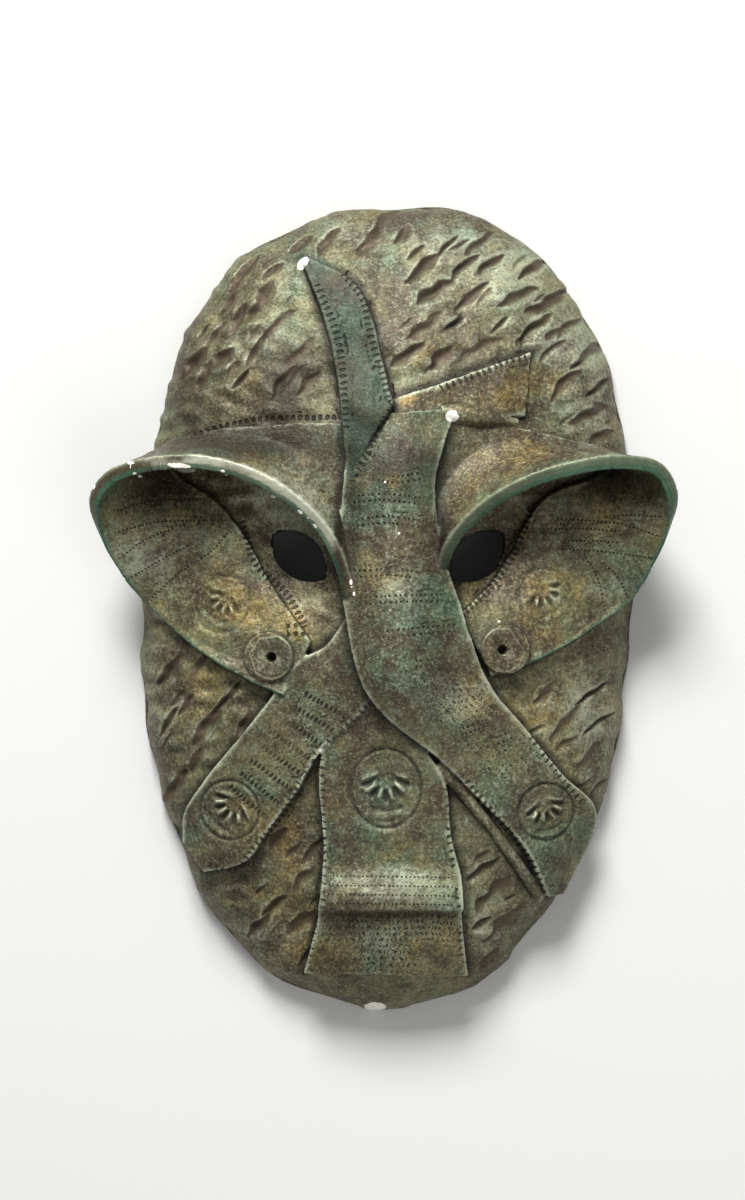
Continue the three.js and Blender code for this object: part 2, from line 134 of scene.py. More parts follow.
# A smooth curve through points given in shares of the half face
def faceCurve(shares):
    points = np.zeros((len(shares), 3))
    points[:, :len(shares[0])] = shares
    points *= (halfWidth, halfHeight, face["crown"])
    padded = np.vstack([2 * points[0] - points[1], points, 2 * points[-1] - points[-2]])

    def place(t):
        spans = len(points) - 1
        spot = np.clip(np.asarray(t, dtype=float), 0, 1) * spans
        start = np.minimum(np.floor(spot).astype(int), spans - 1)
        w = (spot - start)[..., None]
        p0, p1, p2, p3 = (padded[start + k] for k in range(4))
        pairs = ((p0, p1), (p1, p2), (p2, p3))
        d0, d1, d2 = (np.sqrt(np.linalg.norm(b - a, axis=-1, keepdims=True)) for a, b in pairs)
        t1 = ((p1 - p0) / d0 - (p2 - p0) / (d0 + d1) + (p2 - p1) / d1) * d1
        t2 = ((p2 - p1) / d1 - (p3 - p1) / (d1 + d2) + (p3 - p2) / d2) * d1
        bend = -3 * p1 + 3 * p2 - 2 * t1 - t2
        twist = 2 * p1 - 2 * p2 + t1 + t2
        return p1 + t1 * w + bend * w ** 2 + twist * w ** 3

    return place


# Building blocks

def deselectAll():
    bpy.ops.object.select_all(action="DESELECT")


def justAdded(name):
    item = bpy.context.object
    item.name = name
    return item


def faceOutward():
    bpy.ops.object.mode_set(mode="EDIT")
    bpy.ops.mesh.select_all(action="SELECT")
    bpy.ops.mesh.normals_make_consistent(inside=False)
    bpy.ops.object.mode_set(mode="OBJECT")


def readPoints(mesh):
    flat = np.empty(len(mesh.vertices) * 3, dtype=np.float32)
    mesh.vertices.foreach_get("co", flat)
    return flat.reshape(-1, 3).astype(float)


def writePoints(mesh, points):
    mesh.vertices.foreach_set("co", points.astype(np.float32).ravel())
    mesh.update()


def setField(mesh, name, values):
    values = np.asarray(values, dtype=np.float32)
    kind = "FLOAT" if values.ndim == 1 else "FLOAT_VECTOR"
    field = mesh.attributes.get(name) or mesh.attributes.new(name, kind, "POINT")
    field.data.foreach_set("value" if values.ndim == 1 else "vector", values.ravel())


def getField(mesh, name):
    values = np.empty(len(mesh.vertices), dtype=np.float32)
    mesh.attributes[name].data.foreach_get("value", values)
    return values.astype(float)


def tagLane(mesh, number, u, v, layer=0.0):
    setField(mesh, "slab", np.full(len(mesh.vertices), float(number)))
    setField(mesh, "laneU", u)
    setField(mesh, "laneV", v)
    setField(mesh, "layer", np.zeros(len(mesh.vertices)) + layer)


# A closed sheet: a flat grid pulled down into a block, then laid between two surfaces.
def addSheet(name, number, rows, columns, upper, lower):
    deselectAll()
    bpy.ops.mesh.primitive_grid_add(x_subdivisions=rows, y_subdivisions=columns, size=1)
    item = justAdded(name)
    bpy.ops.object.mode_set(mode="EDIT")
    bpy.ops.mesh.select_all(action="SELECT")
    bpy.ops.mesh.extrude_region_move(TRANSFORM_OT_translate={"value": (0, 0, -1)})
    bpy.ops.object.mode_set(mode="OBJECT")
    points = readPoints(item.data)
    u = points[:, 0] + 0.5
    v = points[:, 1] + 0.5
    above = points[:, 2] > -0.5
    placed = np.where(above[:, None], upper(u, v), lower(u, v))
    writePoints(item.data, placed)
    tagLane(item.data, number, u, v, above.astype(float))
    faceOutward()
    return item


# The face wall: a sphere whose upper half becomes the outside and lower half the hollow back
shellSizes = {"segments": 320, "rings": 180}


def addShell():
    deselectAll()
    segments, rings = shellSizes["segments"], shellSizes["rings"]
    bpy.ops.mesh.primitive_uv_sphere_add(segments=segments, ring_count=rings, radius=1)
    item = justAdded("face_wall")
    points = readPoints(item.data)
    angle = np.arctan2(points[:, 1], points[:, 0])
    polar = np.hypot(points[:, 0], points[:, 1])
    outside = points[:, 2] > -1e-4
    ringStep = math.pi / rings
    tilt = np.arcsin(np.clip(-points[:, 2], -1, 1))
    inner = np.sin(np.clip((math.pi / 2 - tilt) / (math.pi / 2 - ringStep), 0, 1) * math.pi / 2)
    share = np.where(outside, polar, inner)
    radius = share * (reach(angle) - np.where(outside, 0, face["rim"]))
    y = radius * np.sin(angle)
    x = radius * np.cos(angle) + middleLine(y)
    z = faceForm(x, y, share) - np.where(outside, 0, face["wall"] * (1 - share ** 8))
    z = np.where(share > 0.99999, 0, np.maximum(z, 0))
    writePoints(item.data, np.stack([x, y, z], axis=-1))
    tagLane(item.data, 0, outside.astype(float), share)
    return item


# Hoods over the eyes: one slab each, folded at the outer tip.
# Rim across, up and its height as a share of the crown, then the foot across and up.
hoodSizes = {"thickness": 5.5, "rows": 260, "columns": 44}
leftHood = {
    "number": 1,
    "side": -1,
    "stations": [
        (-0.131, 0.007, 1.205, -0.14, 0.447),
        (-0.18, 0.125, 1.273, -0.219, 0.447),
        (-0.278, 0.216, 1.364, -0.33, 0.447),
        (-0.471, 0.303, 1.455, -0.497, 0.441),
        (-0.692, 0.346, 1.455, -0.67, 0.433),
        (-0.908, 0.343, 1.386, -0.815, 0.414),
        (-1.062, 0.315, 1.273, -0.875, 0.375),
        (-1.136, 0.262, 1.136, -0.814, 0.325),
        (-1.122, 0.181, 0.909, -0.681, 0.272),
        (-1.045, 0.092, 0.705, -0.58, 0.206),
        (-0.935, 0.01, 0.545, -0.528, 0.147),
        (-0.749, -0.095, 0.795, -0.44, 0.05),
        (-0.567, -0.165, 0.955, -0.361, -0.015),
        (-0.392, -0.213, 1.023, -0.282, -0.08),
    ],
}
rightHood = {
    "number": 2,
    "side": 1,
    "stations": [
        (0.225, 0.086, 1.205, 0.15, 0.447),
        (0.262, 0.15, 1.273, 0.271, 0.447),
        (0.375, 0.231, 1.364, 0.382, 0.447),
        (0.548, 0.296, 1.455, 0.542, 0.434),
        (0.742, 0.334, 1.455, 0.708, 0.413),
        (0.919, 0.349, 1.386, 0.86, 0.386),
        (1.067, 0.335, 1.273, 0.915, 0.358),
        (1.136, 0.275, 1.136, 0.85, 0.325),
        (1.125, 0.181, 0.909, 0.641, 0.271),
        (1.058, 0.092, 0.705, 0.556, 0.198),
        (0.98, 0.018, 0.545, 0.516, 0.14),
        (0.828, -0.052, 0.727, 0.468, 0.089),
        (0.64, -0.119, 0.909, 0.397, 0.041),
        (0.42, -0.167, 1.023, 0.294, -0.015),
    ],
}


def addHood(hood, name):
    rim = faceCurve([row[:3] for row in hood["stations"]])
    foot = faceCurve([row[3:] for row in hood["stations"]])
    half = hoodSizes["thickness"] / 2

    def middle(u, v):
        top = rim(u)
        base = foot(u)
        base[:, 2] = faceHeight(base[:, 0], base[:, 1]) - 1
        bend = base + 0.55 * (top - base)
        bend[:, 2] = base[:, 2] + 0.25 * (top[:, 2] - base[:, 2])
        v = v[:, None]
        point = base * (1 - v) ** 2 + bend * 2 * v * (1 - v) + top * v ** 2
        inside = 1 - smooth(0.9, 0.99, outlineShare(point[:, 0], point[:, 1]))
        lowest = faceHeight(point[:, 0], point[:, 1]) + 2.2
        point[:, 2] = np.maximum(point[:, 2], lowest * inside + point[:, 2] * (1 - inside))
        return point

    def normal(u, v):
        along = middle(np.minimum(1, u + 0.012), v) - middle(np.maximum(0, u - 0.012), v)
        out = middle(u, np.minimum(1, v + 0.08)) - middle(u, np.maximum(0, v - 0.08))
        return unit(np.cross(along, out)) * hood["side"]

    def upper(u, v):
        return middle(u, v) + normal(u, v) * half

    def lower(u, v):
        point = middle(u, v)
        x, y = point[:, 0], point[:, 1]
        rests = smooth(0.62, 0.74, u) * (1 - smooth(0.86, 0.95, outlineShare(x, y)))
        sunk = np.stack([x, y, faceHeight(x, y) - face["embed"]], axis=-1)
        free = point - normal(u, v) * half
        return free + (sunk - free) * rests[:, None]

    return addSheet(name, hood["number"], hoodSizes["rows"], hoodSizes["columns"], upper, lower)


# The chin lip: a slow rise towards the chin and a steep drop behind it
def lipShape(down):
    return smooth(0, 0.85, down) * (1 - smooth(0.9, 1.1, down))


# Slabs laid on the face between two edges, each over the slabs whose numbers it names
slabs = {
    "nose_strap": {
        "number": 3, "over": (0, 1, 2, 4, 5, 6, 7),
        "rows": 260, "columns": 40,
        "left": [
            (-0.128, 0.455), (-0.139, 0.261), (-0.143, 0.117), (-0.123, -0.003), (-0.084, -0.098),
            (-0.022, -0.193), (0.065, -0.271), (0.222, -0.364), (0.381, -0.462), (0.543, -0.574),
            (0.632, -0.695),
        ],
        "right": [
            (0.275, 0.478), (0.174, 0.3), (0.181, 0.165), (0.212, 0.081), (0.267, -0.003),
            (0.337, -0.098), (0.418, -0.195), (0.539, -0.281), (0.681, -0.392), (0.82, -0.49),
            (0.69, -0.69),
        ],
        "lift": lambda u, v, y: (
            5.6 + 2.4 * smooth(0, 0.07, u) + 3 * smooth(0.25, 0.5, u) - 5 * smooth(0.5, 0.75, u)
        ),
    },
    "top_strap": {
        "number": 4, "over": (0, 1, 7),
        "rows": 110, "columns": 24,
        "left": [
            (-0.321, 0.846), (-0.26, 0.751), (-0.211, 0.651), (-0.179, 0.553), (-0.148, 0.431),
            (-0.122, 0.3),
        ],
        "right": [
            (-0.3, 0.853), (-0.12, 0.79), (-0.045, 0.7), (-0.006, 0.602), (0.02, 0.53),
            (0.045, 0.48),
        ],
        "lift": lambda u, v, y: 4.5 + 3.5 * smooth(0.55, 0.85, u),
    },
    "left_strap": {
        "number": 5, "over": (0, 6),
        "rows": 160, "columns": 40,
        "left": [
            (-0.108, 0.002), (-0.217, -0.087), (-0.332, -0.126), (-0.443, -0.22),
            (-0.551, -0.305), (-0.685, -0.407), (-0.77, -0.494), (-0.775, -0.565),
        ],
        "right": [
            (-0.018, -0.204), (-0.116, -0.265), (-0.226, -0.328), (-0.29, -0.385),
            (-0.341, -0.442), (-0.437, -0.523), (-0.54, -0.61), (-0.69, -0.64),
        ],
        "lift": lambda u, v, y: 5 + 0 * u,
    },
    "chin_strap": {
        "number": 6, "over": (0,),
        "rows": 150, "columns": 60,
        "left": [
            (-0.03, -0.214), (-0.226, -0.328), (-0.25, -0.4), (-0.234, -0.539),
            (-0.236, -0.616), (-0.255, -0.741), (-0.31, -0.88),
        ],
        "right": [
            (0.0, -0.214), (0.2, -0.37), (0.246, -0.437), (0.263, -0.549),
            (0.295, -0.629), (0.304, -0.741), (0.329, -0.888),
        ],
        "lift": lambda u, v, y: 5 + 5.5 * lipShape((-0.6 - y / halfHeight) / 0.122),
    },
    "brow_tab": {
        "number": 7, "over": (0,),
        "rows": 100, "columns": 30,
        "left": [(0.040, 0.500), (0.303, 0.559), (0.585, 0.624)],
        "right": [(0.050, 0.450), (0.320, 0.450), (0.560, 0.468)],
        "lift": lambda u, v, y: 3.5 * (1 - 0.6 * smooth(0.8, 1, u)),
    },
}


def addSlab(name, slab):
    left = faceCurve(slab["left"])
    right = faceCurve(slab["right"])

    def across(u, v):
        spot = left(u) * (1 - v[:, None]) + right(u) * v[:, None]
        return spot[:, 0], spot[:, 1]

    def upper(u, v):
        x, y = across(u, v)
        return onFace(x, y, slab["lift"](u, v, y))

    def lower(u, v):
        x, y = across(u, v)
        return onFace(x, y, np.full(len(x), -face["embed"]))

    return addSheet(name, slab["number"], slab["rows"], slab["columns"], upper, lower)


# Round rolls of clay: the strip beside the nose strap and the rolled end over the right brow
rolls = {
    "cord": {
        "number": 8,
        "path": [(0.205, -0.37), (0.342, -0.466), (0.463, -0.561), (0.553, -0.642), (0.625, -0.712)],
        "lift": 2.25,
        "radius": lambda u: 2.25 + 0 * u,
    },
    "brow_roll": {
        "number": 9,
        "path": [(0.205, 0.472), (0.31, 0.466), (0.41, 0.457), (0.53, 0.447)],
        "lift": 4.2,
        "radius": lambda u: 4.2 * (0.6 + 0.4 * smooth(0, 0.3, u) - 0.6 * smooth(0.45, 1, u)),
    },
}


def addRoll(name, roll):
    deselectAll()
    bpy.ops.mesh.primitive_uv_sphere_add(segments=24, ring_count=80, radius=1)
    item = justAdded(name)
    points = readPoints(item.data)
    u = np.clip(0.5 - np.arcsin(np.clip(points[:, 2], -1, 1)) / math.pi, 0, 1)
    spin = np.arctan2(points[:, 1], points[:, 0])
    ends = np.minimum(1, np.minimum(u, 1 - u) / 0.02) * (np.hypot(points[:, 0], points[:, 1]) > 1e-4)
    path = faceCurve(roll["path"])

    def centre(t):
        spot = path(t)
        return onFace(spot[:, 0], spot[:, 1], np.full(len(t), roll["lift"]))

    along = unit(centre(np.minimum(1, u + 0.01)) - centre(np.maximum(0, u - 0.01)))
    side = unit(np.cross(np.array([0.0, 0.0, 1.0]), along))
    up = np.cross(along, side)
    radius = (roll["radius"](u) * ends)[:, None]
    placed = centre(u) + (side * np.cos(spin)[:, None] + up * np.sin(spin)[:, None]) * radius
    writePoints(item.data, placed)
    tagLane(item.data, roll["number"], u, (spin / math.pi + 1) / 2)
    faceOutward()
    return item


# Discs pressed on the lower corners of the hoods
studs = {
    "number": 10,
    "radius": 10.0,
    "height": 7.0,
    "taper": 0.98,
    "places": [(-0.442, -0.116), (0.47, -0.099)],
    "holeRadius": 1.8,
    "holeDepth": 5.0,
}


def addStud(name, across, up):
    deselectAll()
    bpy.ops.mesh.primitive_cylinder_add(
        vertices=64, radius=studs["radius"], depth=studs["height"], end_fill_type="TRIFAN"
    )
    item = justAdded(name)
    points = readPoints(item.data)
    top = points[:, 2] > 0
    points[top, :2] *= studs["taper"]
    points[:, 2] += studs["height"] / 2
    x, y = np.array([across * halfWidth]), np.array([up * halfHeight])
    normal = faceNormal(x, y)[0]
    turn = np.array(Vector((0, 0, 1)).rotation_difference(Vector(normal)).to_matrix())
    writePoints(item.data, points @ turn.T + onFace(x, y, 0)[0])
    tagLane(item.data, studs["number"], np.zeros(len(points)), np.zeros(len(points)))
    return item


# Eye holes are cut from the face wall before the hoods go on
eyes = {
    "length": 27.0,
    "width": 17.0,
    "cutterHeight": 90.0,
    "cutterMiddle": 50.0,
    "places": [(-0.335, 0.128, -0.75), (0.375, 0.128, 0.75)],
}


def cutEyes(wall):
    for x, y, turn in eyes["places"]:
        deselectAll()
        bpy.ops.mesh.primitive_cylinder_add(vertices=48, radius=1, depth=eyes["cutterHeight"])
        cutter = justAdded("eye_cutter")
        points = readPoints(cutter.data)
        angle = np.arctan2(points[:, 1], points[:, 0])
        along = np.cos(angle) * eyes["length"] / 2
        across = np.sign(np.sin(angle)) * np.abs(np.sin(angle)) ** 1.5 * eyes["width"] / 2
        cos, sin = math.cos(turn), math.sin(turn)
        points[:, 0] = along * cos - across * sin + x * halfWidth
        points[:, 1] = along * sin + across * cos + y * halfHeight
        points[:, 2] += eyes["cutterMiddle"]
        writePoints(cutter.data, points)
        bpy.context.view_layer.objects.active = wall
        cut = wall.modifiers.new("eye", "BOOLEAN")
        cut.operation = "DIFFERENCE"
        cut.object = cutter
        cut.solver = "MANIFOLD"
        bpy.ops.object.modifier_apply(modifier=cut.name)
        bpy.data.objects.remove(cutter)


# Tool marks

gouge = {
    "length": 16.0,
    "width": 4.8,
    "depth": 1.9,
    "pitch": 14.5,
    "placeSeeds": (41, 97),
    "shapeSeed": 7,
}


def strokeTurn(x):
    side = (x - middleLine(0)) / halfWidth
    return math.radians(40 - 4 * side if side > 0 else 42 - 18 * side)


def isBare(x, y):
    underTopStrap = 0.4 < y < 0.88 and -0.42 + 0.35 * (0.88 - y) < x < 0.06
    aboveBrow = y > 0.49 - 0.09 * max(0, x)
    onTab = 0 < x < 0.64 and y < 0.53 + 0.19 * x
    leftCheek = x < -0.35 and -0.62 < y < -0.14 and x + 0.72 * y < -0.74
    underLeftStrap = -0.9 < y < -0.42 and x < -0.28 and x - 0.9 * y > 0.12
    rightCheek = x > 0.5 and -0.5 < y < -0.16 and x + 1.35 * y > 0.15
    underRightStrap = -0.9 < y < -0.5 and x > 0.36 and x + 1.05 * y < -0.2
    forehead = aboveBrow and not underTopStrap and not onTab
    return forehead or leftCheek or underLeftStrap or rightCheek or underRightStrap


def gougeList(seed, pitch, scale, depthScale):
    numbers = seededNumbers(seed)
    dents = []
    y = -halfHeight
    while y < halfHeight:
        shift = (round(y / (pitch * 0.8)) % 2) * pitch * 0.5
        x = -halfWidth
        while x < halfWidth:
            px = x + shift + (next(numbers) - 0.5) * pitch * 0.4
            py = y + (next(numbers) - 0.5) * pitch * 0.4
            size = (0.75 + 0.5 * next(numbers)) * scale
            turn = strokeTurn(px) + (next(numbers) - 0.5) * 0.35
            share = float(outlineShare(np.array([px]), np.array([py]))[0])
            if share < 0.955 and isBare(px / halfWidth, py / halfHeight):
                sizes = (gouge["length"] * size, gouge["width"] * size, gouge["depth"] * depthScale)
                dents.append((px, py, turn, *sizes))
            x += pitch
        y += pitch * 0.8
    return dents


# Soft swells of hand-worked clay, from a few waves that cross at odd angles: their size and seed
swells = {"wall": (26, 5), "wallFine": (10, 6), "slab": (15, 8), "slabFine": (5, 9)}


def lumps(x, y, size, seed):
    numbers = seededNumbers(seed)
    total = np.zeros_like(x)
    for _ in range(7):
        turn = 2 * math.pi * next(numbers)
        wave = 2 * math.pi / (size * (0.7 + 0.9 * next(numbers)))
        total += np.sin(wave * (x * math.cos(turn) + y * math.sin(turn)) + 7 * next(numbers))
    return total / 7


# Scooped dents: steep on the upper left side, with the clay pushed up behind that edge.
# Gives the height change and how far inside a scoop each point lies.
def gougeRelief(x, y):
    leftSide = 1 - smooth(-60, -40, x)
    fine = lumps(x, y, *swells["wallFine"])
    relief = 1.3 * lumps(x, y, *swells["wall"]) + (0.7 + 0.7 * leftSide) * fine
    scooped = np.zeros_like(x)
    numbers = seededNumbers(gouge["shapeSeed"])
    bigSeed, smallSeed = gouge["placeSeeds"]
    big = gougeList(bigSeed, gouge["pitch"], 1.0, 1.0)
    small = gougeList(smallSeed, gouge["pitch"] * 1.4, 0.6, 0.5)
    for px, py, turn, length, width, depth in big + small:
        width = width * (0.45 + 0.75 * next(numbers))
        length = length * (0.8 + 0.5 * next(numbers))
        depth = depth * (0.35 + 0.5 * next(numbers))
        curl = 0.5 * (next(numbers) - 0.5)
        near = np.nonzero((np.abs(x - px) < length) & (np.abs(y - py) < length))[0]
        dx, dy = x[near] - px, y[near] - py
        along = (dx * math.cos(turn) + dy * math.sin(turn)) / length - 0.1
        across = (dy * math.cos(turn) - dx * math.sin(turn)) / width
        across = across - curl * (2 * along) ** 2 + 0.3 * fine[near]
        point = np.clip(1 - (2 * along) ** 2, 0, 1)
        side = across / (0.1 + 0.5 * point)
        slope = smooth(-1.3, 0.3, side) * (1 - smooth(0.35, 1.1, side))
        behind = smooth(0.8, 1.2, side) * np.exp(-np.maximum(0, side - 1) * 1.1) * point
        relief[near] += depth * (0.28 * behind - point ** 0.7 * slope)
        shade = smooth(-1.0, 0.6, side) * (1 - smooth(0.8, 1.15, side)) * smooth(0, 0.4, point)
        scooped[near] = np.maximum(scooped[near], shade * min(1, depth / 0.9))
    return relief, scooped


def leafRelief(x, y, cx, cy, radius, tall, turn):
    cos, sin = math.cos(turn), math.sin(turn)
    dx, dy = x - cx, y - cy
    across = dx * cos + dy * sin
    up = dy * cos - dx * sin
    ring = np.hypot(across, up / tall)
    groove = bump(ring, radius, 0.9)
    dish = 0.7 * (1 - smooth(radius * 0.8, radius, ring))
    top = up - radius * 0.35
    fan = np.arctan2(across, -top)
    spread = np.hypot(across, top) / radius
    lobes = np.zeros_like(x)
    for i in range(5):
        lobeTurn = (i - 2) * 0.6
        side = np.abs(fan - lobeTurn) * spread / 0.15
        long = smooth(0.1, 0.3, spread) * (1 - smooth(0.62, 0.86, spread))
        lobes += long * (0.7 * bump(side, 1.15, 0.45) - 1.1 * bump(side, 0, 0.5))
    lobes += 0.5 * np.cos(spread * 16) * smooth(0.85, 1.0, spread) * (np.abs(fan) < 0.5)
    lobes *= 1 - smooth(radius * 0.84, radius * 0.94, ring)
    return -groove - dish + lobes


# Stamped leaf marks: plan shares, radius, height against width, turn and depth
leaves = [
    (0.009, -0.433, 14.0, 1.12, 0.0, 1.0),
    (-0.615, -0.49, 12.0, 1.0, -0.7, 1.0),
    (0.65, -0.495, 11.5, 1.0, 0.3, 1.0),
    (-0.638, 0.012, 10.5, 1.1, -0.6, 0.6),
    (0.645, 0.03, 10.5, 1.1, 0.6, 0.6),
]


def surfaceRelief(points, slab, front):
    x, y = points[:, 0], points[:, 1]
    onSlab = front & (slab > 0.5) & (slab < 8.5)
    swell = 0.45 * lumps(x, y, *swells["slab"]) + 0.2 * lumps(x, y, *swells["slabFine"])
    relief = np.where(onSlab, swell, 0)
    scooped = np.zeros(len(x))
    wall = (slab < 0.5) & front
    relief[wall], scooped[wall] = gougeRelief(x[wall], y[wall])
    for sx, sy, radius, tall, turn, depth in leaves:
        near = front & (slab > 0.5) & (np.hypot(x - sx * halfWidth, y - sy * halfHeight) < radius * 1.4)
        mark = leafRelief(x[near], y[near], sx * halfWidth, sy * halfHeight, radius, tall, turn)
        relief[near] += depth * mark
    return relief, scooped


# Small marks pressed in with a point or a comb: dotted rows, and teeth along the seams.
# Paths are plan shares of the half face; pitch, gap and dot sizes are in millimetres.
# Where no gap and rows are given, there is one row.
marks = [
    {
        "slabs": (1, 2), "pitch": 1.6, "gap": 6.0, "rows": 1, "long": 0.45, "wide": 0.42, "loose": 0.3,
        "paths": [
            [(-1.05, 0.238), (-0.919, 0.262), (-0.712, 0.267)],
            [(-1.06, 0.185), (-0.886, 0.211), (-0.635, 0.215)],
            [(-1.03, 0.13), (-0.938, 0.169), (-0.752, 0.211)],
            [(-1.014, 0.072), (-0.896, 0.114), (-0.768, 0.155)],
            [(-0.933, 0.021), (-0.822, 0.082), (-0.679, 0.14), (-0.611, 0.188)],
            [(0.68, 0.193), (0.82, 0.194), (0.938, 0.186)],
            [(0.72, 0.164), (0.828, 0.165), (0.939, 0.16)],
            [(0.798, 0.131), (0.856, 0.07), (0.885, -0.008)],
            [(0.875, 0.11), (0.935, 0.075), (0.975, 0.031)],
            [(0.866, 0.223), (0.976, 0.227), (1.091, 0.222)],
            [(0.692, 0.219), (0.938, 0.206), (1.082, 0.176)],
            [(0.692, 0.145), (0.88, 0.138), (1.059, 0.123)],
        ],
    },
    {
        "slabs": (0, 1, 2), "pitch": 2.3, "gap": 9.0, "rows": 1, "long": 0.62, "wide": 1.5, "loose": 0.35,
        "paths": [
            [
                (-0.562, 0.211), (-0.538, 0.165), (-0.512, 0.118), (-0.468, 0.084), (-0.386, 0.038),
                (-0.31, -0.039),
            ],
            [(0.583, 0.238), (0.549, 0.179), (0.502, 0.118), (0.401, 0.036), (0.304, -0.02)],
        ],
    },
    {
        "slabs": (0, 1, 2), "pitch": 2.7, "long": 0.85, "wide": 1.2, "loose": 0.45,
        "paths": [[(-0.75, 0.424), (-0.643, 0.444), (-0.522, 0.457), (-0.398, 0.461), (-0.164, 0.462)]],
    },
    {
        "slabs": (0, 3, 4, 7), "pitch": 2.6, "long": 0.6, "wide": 1.5,
        "paths": [
            [(-0.264, 0.787), (-0.188, 0.669), (-0.164, 0.595), (-0.147, 0.43)],
            [(-0.157, 0.815), (-0.079, 0.75), (-0.051, 0.668), (-0.004, 0.567), (0.02, 0.5)],
            [(0.231, 0.531), (0.303, 0.549), (0.41, 0.574), (0.476, 0.596), (0.566, 0.612)],
        ],
    },
    {
        "slabs": (3,), "pitch": 2.0, "gap": 2.5, "rows": 2, "long": 0.48, "wide": 0.6, "loose": 0.95,
        "paths": [
            [(-0.04, 0.318), (0.06, 0.309), (0.15, 0.318)],
            [(-0.115, 0.262), (0.017, 0.266), (0.15, 0.257)],
            [(-0.1, 0.205), (0.017, 0.211), (0.165, 0.202)],
            [(-0.11, 0.083), (0.045, 0.088), (0.13, 0.08)],
            [(-0.09, 0.019), (0.064, 0.024), (0.235, 0.026)],
            [(-0.02, -0.062), (0.103, -0.055), (0.285, -0.046)],
            [(0.13, -0.13), (0.24, -0.125), (0.33, -0.12)],
            [(0.3, -0.3), (0.42, -0.27)],
            [(0.39, -0.33), (0.52, -0.3)],
        ],
    },
    {
        "slabs": (3, 4), "pitch": 2.6, "long": 0.7, "wide": 1.3, "loose": 1.0,
        "paths": [[(0.04, 0.485), (-0.04, 0.4), (-0.115, 0.305)]],
    },
    {
        "slabs": (0, 1, 5), "pitch": 3.0, "gap": 3.2, "rows": 2, "long": 0.9, "wide": 1.0,
        "paths": [[(-0.375, -0.052), (-0.34, -0.05), (-0.305, -0.052)]],
    },
    {
        "slabs": (5,), "pitch": 1.9, "gap": 4.9, "rows": 1, "long": 0.55, "wide": 1.25, "loose": 0.7,
        "paths": [
            [(-0.304 - 0.043 * k, -0.205 - 0.0325 * k), (-0.104 - 0.051 * k, -0.277 - 0.0325 * k)]
            for k in range(8)
        ],
    },
    {
        "slabs": (0, 5, 6), "pitch": 2.5, "long": 0.55, "wide": 1.3,
        "paths": [
            [(-0.69, -0.628), (-0.59, -0.638), (-0.522, -0.584), (-0.407, -0.502), (-0.3, -0.38)],
            [(-0.273, -0.348), (-0.116, -0.265), (-0.018, -0.203)],
        ],
    },
    {
        "slabs": (6,), "pitch": 1.7, "gap": 3.6, "rows": 4, "long": 0.4, "wide": 0.4,
        "paths": [[(-0.215, -0.679), (0.034, -0.68), (0.285, -0.683)]],
    },
    {
        "slabs": (6,), "pitch": 2.1, "gap": 2.6, "rows": 10, "long": 0.34, "wide": 0.85, "loose": 2.2,
        "paths": [[(-0.265, -0.815), (0.02, -0.815), (0.3, -0.815)]],
    },
    {
        "slabs": (3,), "pitch": 2.2, "gap": 2.4, "rows": 8, "long": 0.4, "wide": 0.45, "loose": 2.4,
        "paths": [[(0.17, -0.13), (0.36, -0.27), (0.56, -0.4)]],
    },
    {
        "slabs": (0, 6), "pitch": 3.1, "long": 0.6, "wide": 1.1, "loose": 0.6,
        "paths": [
            [(-0.242, -0.364), (-0.235, -0.535), (-0.243, -0.704), (-0.296, -0.886)],
            [(0.247, -0.437), (0.262, -0.552), (0.293, -0.705), (0.318, -0.878)],
        ],
    },
    {
        "slabs": (0, 3), "pitch": 2.8, "long": 0.7, "wide": 1.3,
        "paths": [
            [(0.31, -0.405), (0.49, -0.535), (0.59, -0.618), (0.645, -0.7)],
            [(0.584, -0.313), (0.681, -0.392), (0.79, -0.47)],
        ],
    },
]


# Gives every point its place among the marks: along and across in cells and how surely it belongs,
# then the size of a cell against the size of a dot, and how loosely the marks are set.
def markCells(points, slab):
    cell = np.zeros((len(points), 3))
    size = np.ones((len(points), 3))
    for mark in marks:
        gap, rows = mark.get("gap", 8.0), mark.get("rows", 1)
        half = gap * rows / 2 if rows > 1 else mark["wide"] + 0.5
        onSlab = np.isin(np.round(slab), mark["slabs"]) & (points[:, 2] > 4)
        for path in mark["paths"]:
            spots = faceCurve(path)(np.linspace(0, 1, 60))[:, :2]
            steps = np.diff(spots, axis=0)
            length = np.concatenate([[0], np.cumsum(np.linalg.norm(steps, axis=1))])
            low, high = spots.min(axis=0) - half - 2, spots.max(axis=0) + half + 2
            inBox = np.all((points[:, :2] > low) & (points[:, :2] < high), axis=1)
            near = np.nonzero(onSlab & inBox)[0]
            if len(near) == 0:
                continue
            gaps = points[near, None, :2] - (spots[:-1] + spots[1:])[None] / 2
            nearest = np.argmin((gaps ** 2).sum(axis=2), axis=1)
            ahead = unit(steps)[nearest]
            offset = points[near, :2] - spots[nearest]
            along = length[nearest] + (offset * ahead).sum(axis=1)
            across = ahead[:, 0] * offset[:, 1] - ahead[:, 1] * offset[:, 0]
            inside = 1 - smooth(half, half + 1.6, np.abs(across))
            inside *= smooth(-0.9, 0.3, along) * (1 - smooth(length[-1] - 0.3, length[-1] + 0.9, along))
            better = inside > cell[near, 2]
            chosen = near[better]
            middle = 0.5 if rows % 2 == 0 else 0
            cell[chosen, 0] = along[better] / mark["pitch"]
            cell[chosen, 1] = across[better] / gap + middle
            cell[chosen, 2] = inside[better]
            size[chosen, 0] = mark["pitch"] / mark["long"]
            size[chosen, 1] = gap / mark["wide"]
            size[chosen, 2] = mark.get("loose", 0.4)
    return cell, size


def fromStuds(points):
    x, y = points[:, 0], points[:, 1]
    return np.min([np.hypot(x - sx * halfWidth, y - sy * halfHeight) for sx, sy in studs["places"]], axis=0)


